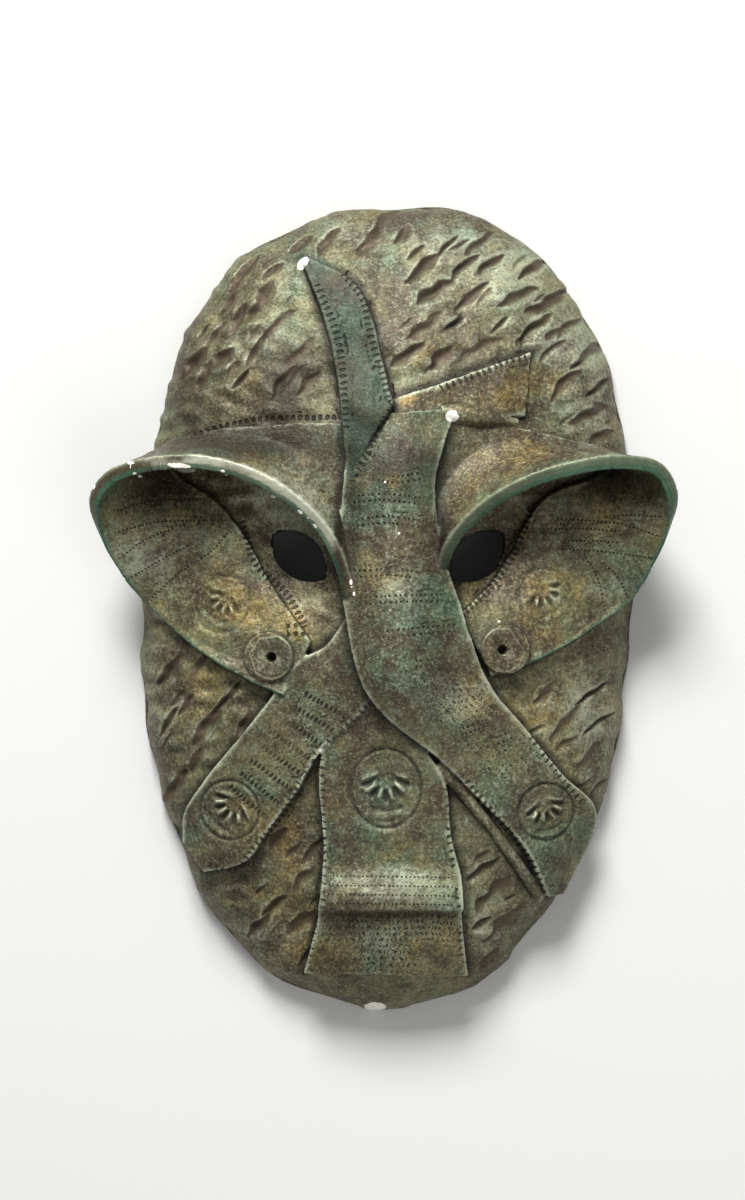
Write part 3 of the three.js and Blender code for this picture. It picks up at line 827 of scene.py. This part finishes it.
def studHoles(points):
    return 1 - smooth(studs["holeRadius"] * 0.6, studs["holeRadius"] * 1.2, fromStuds(points))


# Joins the slabs to one skin

def joinAll(items):
    deselectAll()
    for item in items:
        item.select_set(True)
    bpy.context.view_layer.objects.active = items[0]
    bpy.ops.object.join()
    return bpy.context.object


def laneLookup(source):
    points = readPoints(source)
    fields = {name: getField(source, name) for name in ("slab", "laneU", "laneV", "layer")}
    source.calc_loop_triangles()
    corners = np.empty(len(source.loop_triangles) * 3, dtype=np.int32)
    source.loop_triangles.foreach_get("vertices", corners)
    corners = corners.reshape(-1, 3)
    tree = BVHTree.FromPolygons(points.tolist(), corners.tolist())

    def look(targets):
        hits = [tree.find_nearest(spot) for spot in targets.tolist()]
        index = np.array([hit[2] for hit in hits])
        spots = np.array([hit[0] for hit in hits])
        a, b, c = (points[corners[index, k]] for k in range(3))
        ab, ac, ap = b - a, c - a, spots - a
        d00, d01, d11 = (ab * ab).sum(1), (ab * ac).sum(1), (ac * ac).sum(1)
        d20, d21 = (ap * ab).sum(1), (ap * ac).sum(1)
        low = np.maximum(d00 * d11 - d01 * d01, 1e-12)
        second = np.clip((d11 * d20 - d01 * d21) / low, 0, 1)
        third = np.clip((d00 * d21 - d01 * d20) / low, 0, 1)
        weights = np.stack([1 - second - third, second, third], axis=-1)
        return {name: (values[corners[index]] * weights).sum(1) for name, values in fields.items()}

    return look


def edgePairs(mesh):
    pairs = np.empty(len(mesh.edges) * 2, dtype=np.int32)
    mesh.edges.foreach_get("vertices", pairs)
    return pairs.reshape(-1, 2)


def averaged(values, pairs, rounds):
    count = np.bincount(pairs.ravel(), minlength=len(values)).astype(float)
    for _ in range(rounds):
        total = np.empty_like(values)
        for column in range(values.shape[1]):
            left = np.bincount(pairs[:, 0], weights=values[pairs[:, 1], column], minlength=len(values))
            right = np.bincount(pairs[:, 1], weights=values[pairs[:, 0], column], minlength=len(values))
            total[:, column] = (left + right) / count
        values = 0.5 * values + 0.5 * total
    return values


def vertexNormals(mesh):
    flat = np.empty(len(mesh.vertices) * 3, dtype=np.float32)
    mesh.vertex_normals.foreach_get("vector", flat)
    return flat.reshape(-1, 3).astype(float)


# Full and quick values for the skin and the two smoothings that the cavity guides are read from
meshing = {
    "voxel": (0.62, 1.1),
    "nearRounds": (8, 4),
    "wideRounds": (40, 14),
    "triangles": 194000,
    "backTriangles": 0.12,
}


def meshingValue(name):
    full, quick = meshing[name]
    return full


def buildMask():
    wall = addShell()
    cutEyes(wall)
    items = [wall, addHood(leftHood, "left_hood"), addHood(rightHood, "right_hood")]
    items += [addSlab(name, slab) for name, slab in slabs.items()]
    items += [addRoll(name, roll) for name, roll in rolls.items()]
    items += [addStud("stud_%d" % number, *place) for number, place in enumerate(studs["places"])]
    body = joinAll(items)
    body.name = "mask_clay"
    print("slabs joined", len(body.data.vertices))
    look = laneLookup(body.data)
    skin = body.modifiers.new("skin", "REMESH")
    skin.mode = "VOXEL"
    skin.voxel_size = meshingValue("voxel")
    skin.adaptivity = 0
    bpy.ops.object.modifier_apply(modifier=skin.name)
    print("one skin", len(body.data.vertices))
    return body, look


def carveMask(body, look):
    mesh = body.data
    points = readPoints(mesh)
    lanes = look(points)
    normals = vertexNormals(mesh)
    front = (normals[:, 2] > 0.05) & (points[:, 2] > 2)
    front &= ~((lanes["slab"] < 0.5) & (lanes["laneU"] < 0.5))
    relief, scooped = surfaceRelief(points, lanes["slab"], front)
    relief -= studs["holeDepth"] * studHoles(points) * (lanes["slab"] > studs["number"] - 0.5)
    points = points + normals * relief[:, None]
    writePoints(mesh, points)
    pairs = edgePairs(mesh)
    near = averaged(points, pairs, meshingValue("nearRounds"))
    wide = averaged(near, pairs, meshingValue("wideRounds"))
    setField(mesh, "cavity", ((near - points) * normals).sum(1))
    setField(mesh, "hollow", ((wide - points) * normals).sum(1))
    setField(mesh, "scoop", scooped)
    for name, values in lanes.items():
        setField(mesh, name, values)
    print("carved", float(relief.min()), float(relief.max()))


def collapse(body, name, ratio):
    thin = body.modifiers.new(name, "DECIMATE")
    thin.ratio = ratio
    if body.vertex_groups:
        thin.vertex_group = body.vertex_groups[0].name
        thin.vertex_group_factor = 1000
    bpy.ops.object.modifier_apply(modifier=thin.name)


def thinMask(body):
    hidden = smooth(-0.2, -0.5, vertexNormals(body.data)[:, 2])
    group = body.vertex_groups.new(name="hidden")
    group.add(np.nonzero(hidden > 0.5)[0].tolist(), 1.0, "REPLACE")
    collapse(body, "back", 1 - hidden.mean() * (1 - meshing["backTriangles"]))
    body.vertex_groups.clear()
    triangles = len(body.data.loops) - 2 * len(body.data.polygons)
    collapse(body, "all", min(1, meshing["triangles"] / triangles))
    print("thinned", len(body.data.polygons))


# Colour guides for the paint, worked out once for every point of the finished skin.
# A spot is its place and half sizes in shares of the half face, then its strength.

goldSpots = [
    (0.398, 0.323, 0.12, 0.04, 0.6), (0.6, 0.36, 0.2, 0.03, 0.7), (0.535, 0.406, 0.14, 0.03, 0.3),
    (-0.53, 0.342, 0.2, 0.05, 0.6), (-0.233, 0.258, 0.06, 0.03, 0.9), (-0.376, -0.034, 0.07, 0.03, 1.0),
    (-0.447, -0.01, 0.12, 0.05, 0.6), (0.06, 0.303, 0.06, 0.03, 0.7), (0.013, 0.059, 0.08, 0.04, 0.6),
    (0.081, 0.503, 0.05, 0.02, 1.0), (0.667, 0.031, 0.16, 0.08, 0.5), (-0.643, 0.007, 0.14, 0.08, 0.5),
    (0.584, 0.545, 0.16, 0.04, 0.6), (0.639, -0.076, 0.2, 0.05, 0.4), (0.78, 0.2, 0.2, 0.08, 0.4),
    (0.35, 0.08, 0.1, 0.05, 0.6), (0.6, -0.24, 0.2, 0.06, 0.4), (-0.3, -0.86, 0.2, 0.05, 0.5),
    (0.06, -0.6, 0.2, 0.04, 0.5), (-0.72, 0.25, 0.2, 0.06, 0.4), (0.35, 0.5, 0.2, 0.03, 0.6),
    (0.33, -0.22, 0.1, 0.06, 0.7), (0.15, -0.82, 0.16, 0.06, 0.7), (-0.38, -0.56, 0.08, 0.1, 0.6),
    (0.56, 0.82, 0.2, 0.08, 0.5), (0.3, 0.62, 0.2, 0.06, 0.4), (-0.5, 0.56, 0.2, 0.08, 0.4),
    (-0.72, -0.2, 0.12, 0.12, 0.4), (0.7, -0.3, 0.12, 0.1, 0.4), (-0.35, -0.74, 0.14, 0.08, 0.5),
]
# Painted highlights: pale patches where the light falls, on the upper forehead, the chin lip, the outer
# hoods and along the left hood rim.
highlightSpots = [
    (0.23, 0.9, 0.16, 0.06, 0.8), (0.52, 0.83, 0.16, 0.08, 1.1), (0.72, 0.66, 0.16, 0.08, 0.9),
    (0.3, 0.7, 0.2, 0.08, 0.4), (-0.5, 0.64, 0.14, 0.08, 0.6), (-0.15, 0.93, 0.14, 0.05, 0.7),
    (0.03, -0.665, 0.26, 0.045, 1.3), (-0.98, 0.12, 0.14, 0.06, 0.9), (-0.85, 0.05, 0.1, 0.05, 0.7),
    (0.9, 0.05, 0.12, 0.06, 0.5), (0.06, 0.06, 0.1, 0.3, 0.25), (0.8, 0.4, 0.1, 0.1, 0.4),
    (-0.85, -0.25, 0.1, 0.1, 0.4), (0.8, -0.25, 0.12, 0.1, 0.4), (-0.36, -0.26, 0.12, 0.08, 0.3),
    (-0.7, 0.345, 0.3, 0.03, 0.6), (-0.4, 0.265, 0.16, 0.06, 1.3), (-0.25, 0.19, 0.1, 0.06, 0.9),
    (0.78, -0.3, 0.2, 0.12, 0.5), (0.3, -0.24, 0.2, 0.05, 0.4), (0.05, -0.8, 0.3, 0.05, 0.5),
    (0.86, 0.53, 0.12, 0.1, 0.6), (-0.4, -0.8, 0.2, 0.08, 0.3), (0.42, -0.78, 0.1, 0.08, 0.5),
    (0.31, -0.2, 0.16, 0.05, 0.5), (0.56, -0.42, 0.14, 0.06, 0.4), (0.06, 0.06, 0.12, 0.06, 0.4),
]
brownSpots = [
    (-0.34, 0.44, 0.3, 0.05, 0.7), (0.01, 0.37, 0.2, 0.1, 0.5),
    (0.009, -0.433, 0.13, 0.08, 0.6), (-0.63, -0.49, 0.12, 0.07, 0.4), (0.65, -0.495, 0.12, 0.07, 0.4),
    (0.03, -0.74, 0.3, 0.02, 1.2), (-0.442, -0.116, 0.12, 0.07, 1.6), (-0.75, -0.3, 0.2, 0.2, 0.3),
    (-0.02, -0.57, 0.2, 0.03, 0.5), (0.35, 0.52, 0.3, 0.04, 0.4), (-0.5, -0.75, 0.3, 0.12, 0.3),
    (-0.45, 0.5, 0.2, 0.08, 0.5), (0.47, -0.099, 0.12, 0.07, 1.0),
]
# Painted shade: darker patches where shade falls, over the brows, beside the top of the nose strap, at the
# left stud and in the band under the chin lip.
shadeSpots = [
    (-0.37, 0.56, 0.16, 0.12, 0.7), (-0.47, 0.39, 0.3, 0.05, 0.75), (0.06, 0.35, 0.16, 0.1, 0.7),
    (0.05, 0.92, 0.35, 0.08, 0.4), (-0.78, 0.48, 0.12, 0.12, 0.4), (0.29, 0.62, 0.2, 0.08, 0.4),
    (-0.6, 0.62, 0.25, 0.15, 0.25), (0.45, 0.76, 0.3, 0.12, 0.15), (-0.442, -0.1, 0.09, 0.05, 0.4),
    (0.03, -0.745, 0.3, 0.015, 0.6), (-0.12, 0.22, 0.04, 0.2, 0.5), (0.23, 0.22, 0.06, 0.16, 0.4),
]


# Painted shadow on the slabs beside the edges of the straps, and a pale line along the edges themselves,
# partly worn paint and partly painted highlight
def edgeGuides(points, slab):
    strapShadow = np.zeros(len(points))
    edgeWearAndHighlight = np.zeros(len(points))
    share = np.linspace(0, 1, 160)
    for strap in slabs.values():
        tree = KDTree(2 * len(share))
        for side, v in (("left", 0.0), ("right", 1.0)):
            foot = faceCurve(strap[side])(share)
            lift = strap["lift"](share, v, foot[:, 1]) + 0 * share
            for spot in onFace(foot[:, 0], foot[:, 1], lift):
                tree.insert((spot[0], spot[1], 0), 0)
        tree.balance()
        for numbers, own in ((strap["over"], False), ((strap["number"],), True)):
            chosen = np.nonzero(np.isin(np.round(slab), numbers) & (points[:, 2] > 4))[0]
            away = np.array([tree.find((px, py, 0))[2] for px, py in points[chosen, :2].tolist()])
            if own:
                # a pale line along the strap's own edge: worn paint and painted highlight
                edgeWearAndHighlight[chosen] = np.maximum(edgeWearAndHighlight[chosen], 1 - smooth(0.5, 1.5, away))
            else:
                # painted shadow on the lower slabs beside this strap
                strapShadow[chosen] = np.maximum(strapShadow[chosen], np.exp(-((away / 2.6) ** 2)))
    return strapShadow, edgeWearAndHighlight


# The number that every point of a slab carries, by the name of the slab
slabNumbers = {"wall": 0, "left_hood": leftHood["number"], "right_hood": rightHood["number"]}
slabNumbers.update({name: slab["number"] for name, slab in slabs.items()}, stud=studs["number"])


def paintGuides(body):
    mesh = body.data
    points = readPoints(mesh)
    x, y = points[:, 0] / halfWidth, points[:, 1] / halfHeight
    slab = getField(mesh, "slab")
    u, v = getField(mesh, "laneU"), getField(mesh, "laneV")

    def within(name):
        return 1 - smooth(0.3, 0.6, np.abs(slab - slabNumbers[name]))

    def spots(table):
        total = np.zeros(len(points))
        for cx, cy, wide, tall, strength in table:
            total += strength * np.exp(-(((x - cx) / wide) ** 2) - (((y - cy) / tall) ** 2))
        return total

    hoods = within("left_hood") + within("right_hood")
    nose, top, left = within("nose_strap"), within("top_strap"), within("left_strap")
    strapGreen = 0.75 - 0.6 * bump(u, 0.22, 0.06) - 0.4 * bump(u, 0.66, 0.08)
    green = 0.32 * hoods + strapGreen * nose + 0.45 * left + 0.95 * top + 0.3 * within("stud")
    green += (0.15 + 0.45 * smooth(-0.76, -0.7, y)) * within("chin_strap")
    green += 0.35 * within("wall") * smooth(0.5, 0.8, y)
    brown = hoods * (1 - smooth(0.42, 0.52, u)) * (1 - smooth(0.75, 0.95, v))
    brown += 0.6 * within("brow_tab") + 0.35 * left + spots(brownSpots)
    brown += 0.5 * nose * smooth(0.42, 0.52, u) * (1 - smooth(0.55, 0.75, u))
    rim = hoods * smooth(0.965, 0.985, v) * (0.3 + 0.7 * smooth(0.01, 0.1, u))
    strapShadow, edgeWearAndHighlight = edgeGuides(points, slab)
    # Painted shade: the dark patches, the whole top strap darkened, and the shadow beside the strap edges.
    paintedShade = spots(shadeSpots) + 0.65 * top + 0.85 * strapShadow
    ring = np.minimum(2.0, fromStuds(points) / studs["radius"] + (1 - within("stud")) * 2)
    # light carries the painted highlights.
    shares = {
        "gold": spots(goldSpots), "light": spots(highlightSpots), "green": green, "brown": brown,
        # inside marks the hollow back, painted near-black as painted shade.
        "rim": rim, "paintedShade": paintedShade, "edgeWearAndHighlight": edgeWearAndHighlight, "inside": within("wall") * (u < 0.5),
    }
    for name, values in shares.items():
        setField(mesh, name, np.clip(values, 0, 1))
    cell, size = markCells(points, slab)
    places = {"ring": ring, "cell": cell, "cellSize": size, "chip": chipCells(points)}
    for name, values in places.items():
        setField(mesh, name, values)


# Chips that show the pale clay: plan shares, half length and half width, and the turn of the long side
chips = [
    (-0.322, 0.848, 3.2, 2.0, 0.9), (0.269, 0.464, 2.6, 2.3, 0.0), (-0.794, 0.34, 4.6, 1.1, -0.1),
    (-0.033, -0.991, 4.6, 2.4, 0.0), (-0.591, 0.329, 1.3, 0.7, -0.2), (-0.622, 0.327, 0.8, 0.6, 0.0),
    (-0.438, 0.272, 1.0, 0.6, -0.5), (-0.325, 0.231, 1.2, 0.6, -0.6), (-0.267, 0.198, 1.0, 0.6, -0.8),
    (-0.983, 0.348, 1.3, 0.7, 0.1), (-0.967, 0.322, 0.8, 0.6, 0.0), (-1.135, 0.295, 0.7, 1.3, 0.0),
    (-0.127, 0.064, 0.6, 1.2, 0.0), (-0.115, 0.036, 0.5, 0.9, 0.0), (-0.25, -0.34, 0.8, 0.6, 0.0),
    (0.006, 0.303, 0.5, 0.5, 0.0), (0.06, 0.18, 0.5, 0.5, 0.0), (0.455, -0.03, 0.6, 0.5, 0.0),
]


def chipCells(points):
    cell = np.zeros((len(points), 3))
    for cx, cy, long, wide, turn in chips:
        dx, dy = points[:, 0] - cx * halfWidth, points[:, 1] - cy * halfHeight
        along = (dx * math.cos(turn) + dy * math.sin(turn)) / long
        across = (dy * math.cos(turn) - dx * math.sin(turn)) / wide
        near = np.hypot(dx, dy) < long + 2.5
        cell[near] = np.stack([along[near], across[near], np.ones(near.sum())], axis=-1)
    return cell


# Paint

class Field:
    def __init__(self, tree, socket):
        self.tree = tree
        self.socket = socket

    def put(self, target, value):
        if isinstance(value, Field):
            self.tree.links.new(value.socket, target)
        else:
            target.default_value = value

    def node(self, kind, settings, inputs, output=0):
        made = self.tree.nodes.new(kind)
        for key, value in settings.items():
            setattr(made, key, value)
        for key, value in inputs.items():
            self.put(made.inputs[key], value)
        return Field(self.tree, made.outputs[output])

    def math(self, operation, *values):
        return self.node("ShaderNodeMath", {"operation": operation}, dict(enumerate((self,) + values)))

    def __add__(self, other):
        return self.math("ADD", other)

    def __radd__(self, other):
        return self.math("ADD", other)

    def __sub__(self, other):
        return self.math("SUBTRACT", other)

    def __rsub__(self, other):
        return self.math("MULTIPLY", -1.0).math("ADD", other)

    def __mul__(self, other):
        return self.math("MULTIPLY", other)

    def step(self, low, high):
        settings = {"interpolation_type": "SMOOTHSTEP"}
        return self.node("ShaderNodeMapRange", settings, {"Value": self, "From Min": low, "From Max": high})

    def parts(self):
        return [self.node("ShaderNodeSeparateXYZ", {}, {"Vector": self}, k) for k in range(3)]

    # distance from the middle of the nearest cell, in cells
    def offCell(self):
        return (self + 0.5).math("FRACT") - 0.5

    def noise(self, scale, detail, rough):
        inputs = {"Vector": self, "Scale": scale, "Detail": detail, "Roughness": rough}
        return self.node("ShaderNodeTexNoise", {}, inputs)

    def blend(self, low, high):
        mix = self.tree.nodes.new("ShaderNodeMix")
        mix.data_type = "RGBA"
        colours = {socket.name: socket for socket in mix.inputs if socket.type == "RGBA"}
        self.put(mix.inputs["Factor"], self)
        self.put(colours["A"], low)
        self.put(colours["B"], high)
        return Field(self.tree, [s for s in mix.outputs if s.type == "RGBA"][0])


def tone(red, green, blue):
    channels = [c / 255 for c in (red, green, blue)]
    return tuple(c / 12.92 if c <= 0.04045 else ((c + 0.055) / 1.055) ** 2.4 for c in channels) + (1.0,)


paint = {
    "olive": tone(124, 121, 90),
    "umber": tone(86, 75, 57),
    "pit": tone(34, 31, 25),
    "scoop": tone(83, 70, 54),
    "verdigris": tone(66, 101, 80),
    "shadeGreen": tone(34, 50, 40),
    "pale": tone(190, 196, 172),
    "gold": tone(154, 130, 70),
    "teal": tone(58, 104, 82),
    "rim": tone(138, 146, 122),
    "sage": tone(98, 114, 92),
    "cream": tone(214, 216, 196),
    "clay": tone(240, 236, 226),
}


# Scale, detail and roughness of each noise, from clouds of colour to the finest specks
noises = {
    "cloud": (24.0, 5.0, 0.6),
    "patch": (62.0, 6.0, 0.6),
    "spread": (47.0, 5.0, 0.62),
    "mottle": (190.0, 5.0, 0.65),
    "grain": (680.0, 4.0, 0.7),
    "speck": (1500.0, 2.0, 0.5),
    "sway": (230.0, 2.0, 0.5),
}


# Pricks, combs and teeth: one dot in each cell that the guides mark out
def pressedMarks(guide, patch, spread, grain, sway):
    along, across, sure = guide("cell", 1).parts()
    longSize, wideSize, loose = guide("cellSize", 1).parts()
    offLong = (along + (sway - 0.5) * loose * 1.6).offCell() * longSize
    offWide = (across + (patch - 0.5) * (loose - 0.25)).offCell() * wideSize
    kept = 1.0 - (0.575 - (spread * 0.6 + grain * 0.5)).step(0.0, 0.08) * (loose * 0.5).step(0.1, 0.5)
    dot = 1.0 - (offLong * offLong + offWide * offWide).step(0.35, 1.15)
    return dot * sure.step(0.3, 0.7) * kept


def bareChips(guide, grain):
    chipX, chipY, chipped = guide("chip", 1).parts()
    inChip = 1.0 - (chipX * chipX + chipY * chipY + (grain - 0.5) * 1.6).step(0.9, 1.1)
    return inChip * chipped.step(0.5, 0.9)


# The cut edge of the hoods: teal along its upper side, turning cream in places as painted highlight, led by
# the highlight spots
def hoodEdge(guide, place, light, patch, spread, grain):
    layer = guide("layer") + (grain - 0.5) * 0.3
    flat = place.parts()[0].step(-0.01, 0.01).blend(paint["umber"], paint["sage"])
    edge = layer.step(0.0, 0.3).blend(paint["rim"], flat)
    # painted highlight: cream where the highlight spots lie
    edge = (light * 1.6 + (patch - 0.5) * 2.0).step(0.4, 1.1).blend(edge, paint["cream"])
    return (layer.step(0.5, 0.72) * (spread * 1.8)).blend(edge, paint["teal"])


def clayPaint():
    material = bpy.data.materials.new("verdigris_clay")
    material.use_nodes = True
    tree = material.node_tree
    shader = tree.nodes["Principled BSDF"]
    start = Field(tree, None)
    place = start.node("ShaderNodeTexCoord", {}, {}, 3)

    def guide(name, output=2):
        return start.node("ShaderNodeAttribute", {"attribute_name": name}, {}, output)

    cavity, hollow, scoop, inside = (guide(name) for name in ("cavity", "hollow", "scoop", "inside"))
    green, gold, brown, rim = (guide(name) for name in ("green", "gold", "brown", "rim"))
    # light is the painted highlight guide, the second the painted shade guide, the third the pale edge line
    # of worn paint and painted highlight.
    light, paintedShade, edgeWearAndHighlight = (guide(name) for name in ("light", "paintedShade", "edgeWearAndHighlight"))
    cloud, patch, spread, mottle, grain, speck, sway = (place.noise(*noises[name]) for name in noises)
    hole = pressedMarks(guide, patch, spread, grain, sway)
    bare = bareChips(guide, grain)
    edge = hoodEdge(guide, place, light, patch, spread, grain)
    recess = (cavity * (2.6 - scoop * 1.2) + hollow * 0.3 + (patch - 0.5) * 0.6).step(0.12, 0.9)
    ring = guide("ring") + (grain - 0.5) * 0.06
    disc = 1.0 - ring.step(0.92, 1.02)
    # Pale on raised, convex clay and where the painted highlight spots lie: partly rubbed wear, partly
    # painted highlight.
    highlight = light * 0.7 + (grain - 0.5) * 0.8 + (spread - 0.5) * 1.2
    raisedWearAndHighlight = (cavity * -1.6 + hollow * -0.18 + highlight - disc * 0.8).step(0.1, 0.9)
    washed = (green * 0.6 + (spread - 0.5) * 2.6 + (grain - 0.5) * 0.8).step(0.05, 0.95)
    browned = (brown * 0.8 + (patch - 0.5) * 1.6).step(0.2, 1.0)
    gilt = (gold * 0.8 + 0.1 + (patch - 0.5) * 2.2 + (grain - 0.5) * 1.6).step(0.2, 1.2)
    fleck = grain * 0.65 + speck * 0.35
    # The colour of the painted shade: near-black, dark green where the verdigris wash lies.
    shade = washed.blend(paint["pit"], paint["shadeGreen"])
    line = (1.0 - ((ring - 0.86).math("ABSOLUTE")).step(0.02, 0.05)) * (spread - 0.2)
    coats = [
        (washed * 0.75, paint["verdigris"]),
        (browned * 0.8, paint["umber"]),
        (gilt * 0.8, paint["gold"]),
        # Painted highlight and wear on raised clay.
        (raisedWearAndHighlight * 0.55, paint["pale"]),
        ((0.5 - mottle).step(0.0, 0.2) * 0.4, paint["pit"]),
        ((mottle - 0.5).step(0.0, 0.2) * 0.15, paint["pale"]),
        ((0.5 - fleck).step(0.0, 0.12) * 0.45, paint["pit"]),
        ((fleck - 0.5).step(0.0, 0.14) * 0.3, paint["pale"]),
        # Pale edge line along the straps: worn paint and painted highlight.
        (edgeWearAndHighlight * (spread * 2.4 - 0.6), paint["pale"]),
        # Painted shade laid over the colour.
        ((paintedShade + (mottle - 0.5) * 0.6).step(0.0, 1.0) * 0.8, shade),
        (line, paint["pale"]),
        (rim * 0.75, edge),
        ((scoop + (grain - 0.5) * 0.5).step(0.1, 0.8) * 0.85, paint["scoop"]),
        (recess * 0.75, paint["pit"]),
        # Painted shade: the hollow back painted near-black so the eye holes look dark.
        (inside * 0.9, paint["pit"]),
        (hole * 0.85, paint["pit"]),
        (bare, paint["clay"]),
    ]
    colour = (cloud * 0.55 + patch * 0.45).step(0.4, 0.62).blend(paint["umber"], paint["olive"])
    for amount, coat in coats:
        colour = amount.blend(colour, coat)
    start.put(shader.inputs["Base Color"], colour)
    start.put(shader.inputs["Roughness"], 0.4 + recess * 0.3 + patch * 0.2)
    start.put(shader.inputs["Metallic"], (1.0 - recess) * (1.0 - bare) * 0.35)
    height = grain * 0.35 + speck * 0.12 + patch * 0.9 - hole * 0.9 - bare * 0.4
    bumped = start.node("ShaderNodeBump", {}, {"Height": height, "Strength": 0.8, "Distance": 0.001})
    start.put(shader.inputs["Normal"], bumped)
    return material


# The room, in metres: a pale floor, a large soft light above the top of the head and a weak fill

room = {
    "floor": tone(214, 214, 212),
    "camera": (-0.0043, 0.0032, 1.172),
    "lens": 85.0,
    "sensor": 36.0,
    "gamma": 0.86,
    "exposure": 0.2,
    "skyStrength": 0.3,
    "aim": (0, 0, 0.03),
}
lights = {
    "key": {"place": (-0.35, 1.75, 1.5), "power": 72.0, "size": 0.8},
    "fill": {"place": (0.5, -0.6, 0.9), "power": 3.0, "size": 1.0},
}


def addRoom():
    deselectAll()
    bpy.ops.mesh.primitive_plane_add(size=6, location=(0, 0, 0))
    floor = bpy.context.object
    floor.name = "floor"
    material = bpy.data.materials.new("floor")
    material.use_nodes = True
    shader = material.node_tree.nodes["Principled BSDF"]
    shader.inputs["Base Color"].default_value = room["floor"]
    shader.inputs["Roughness"].default_value = 0.8
    floor.data.materials.append(material)


def addLight(name, place, power, size):
    light = bpy.data.lights.new(name, "AREA")
    light.energy = power
    light.size = size
    item = bpy.data.objects.new(name, light)
    bpy.context.scene.collection.objects.link(item)
    item.location = place
    item.rotation_euler = (Vector(room["aim"]) - Vector(place)).to_track_quat("-Z", "Y").to_euler()


def addCamera():
    scene = bpy.context.scene
    data = bpy.data.cameras.new("camera")
    data.lens = room["lens"]
    data.sensor_width = room["sensor"]
    camera = bpy.data.objects.new("camera", data)
    scene.collection.objects.link(camera)
    camera.location = room["camera"]
    scene.camera = camera
    scene.view_settings.view_transform = "Standard"
    scene.view_settings.gamma = room["gamma"]
    scene.view_settings.exposure = room["exposure"]
    world = bpy.data.worlds.new("room")
    world.use_nodes = True
    background = world.node_tree.nodes["Background"]
    background.inputs["Color"].default_value = (1, 1, 1, 1)
    background.inputs["Strength"].default_value = room["skyStrength"]
    scene.world = world


body, look = buildMask()
carveMask(body, look)
thinMask(body)
paintGuides(body)
finished = readPoints(body.data)
finished[:, 0] += face["centring"][0]
finished[:, 1] += face["centring"][1]
finished[:, 2] = np.maximum(finished[:, 2], 0)
writePoints(body.data, finished / 1000)
body.data.polygons.foreach_set("use_smooth", np.ones(len(body.data.polygons), dtype=bool))
body.data.materials.clear()
body.data.materials.append(clayPaint())
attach(body, "root")
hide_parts("mask")
print("mask placed", len(body.data.polygons))

addRoom()
for name, light in lights.items():
    addLight(name, **light)
addCamera()
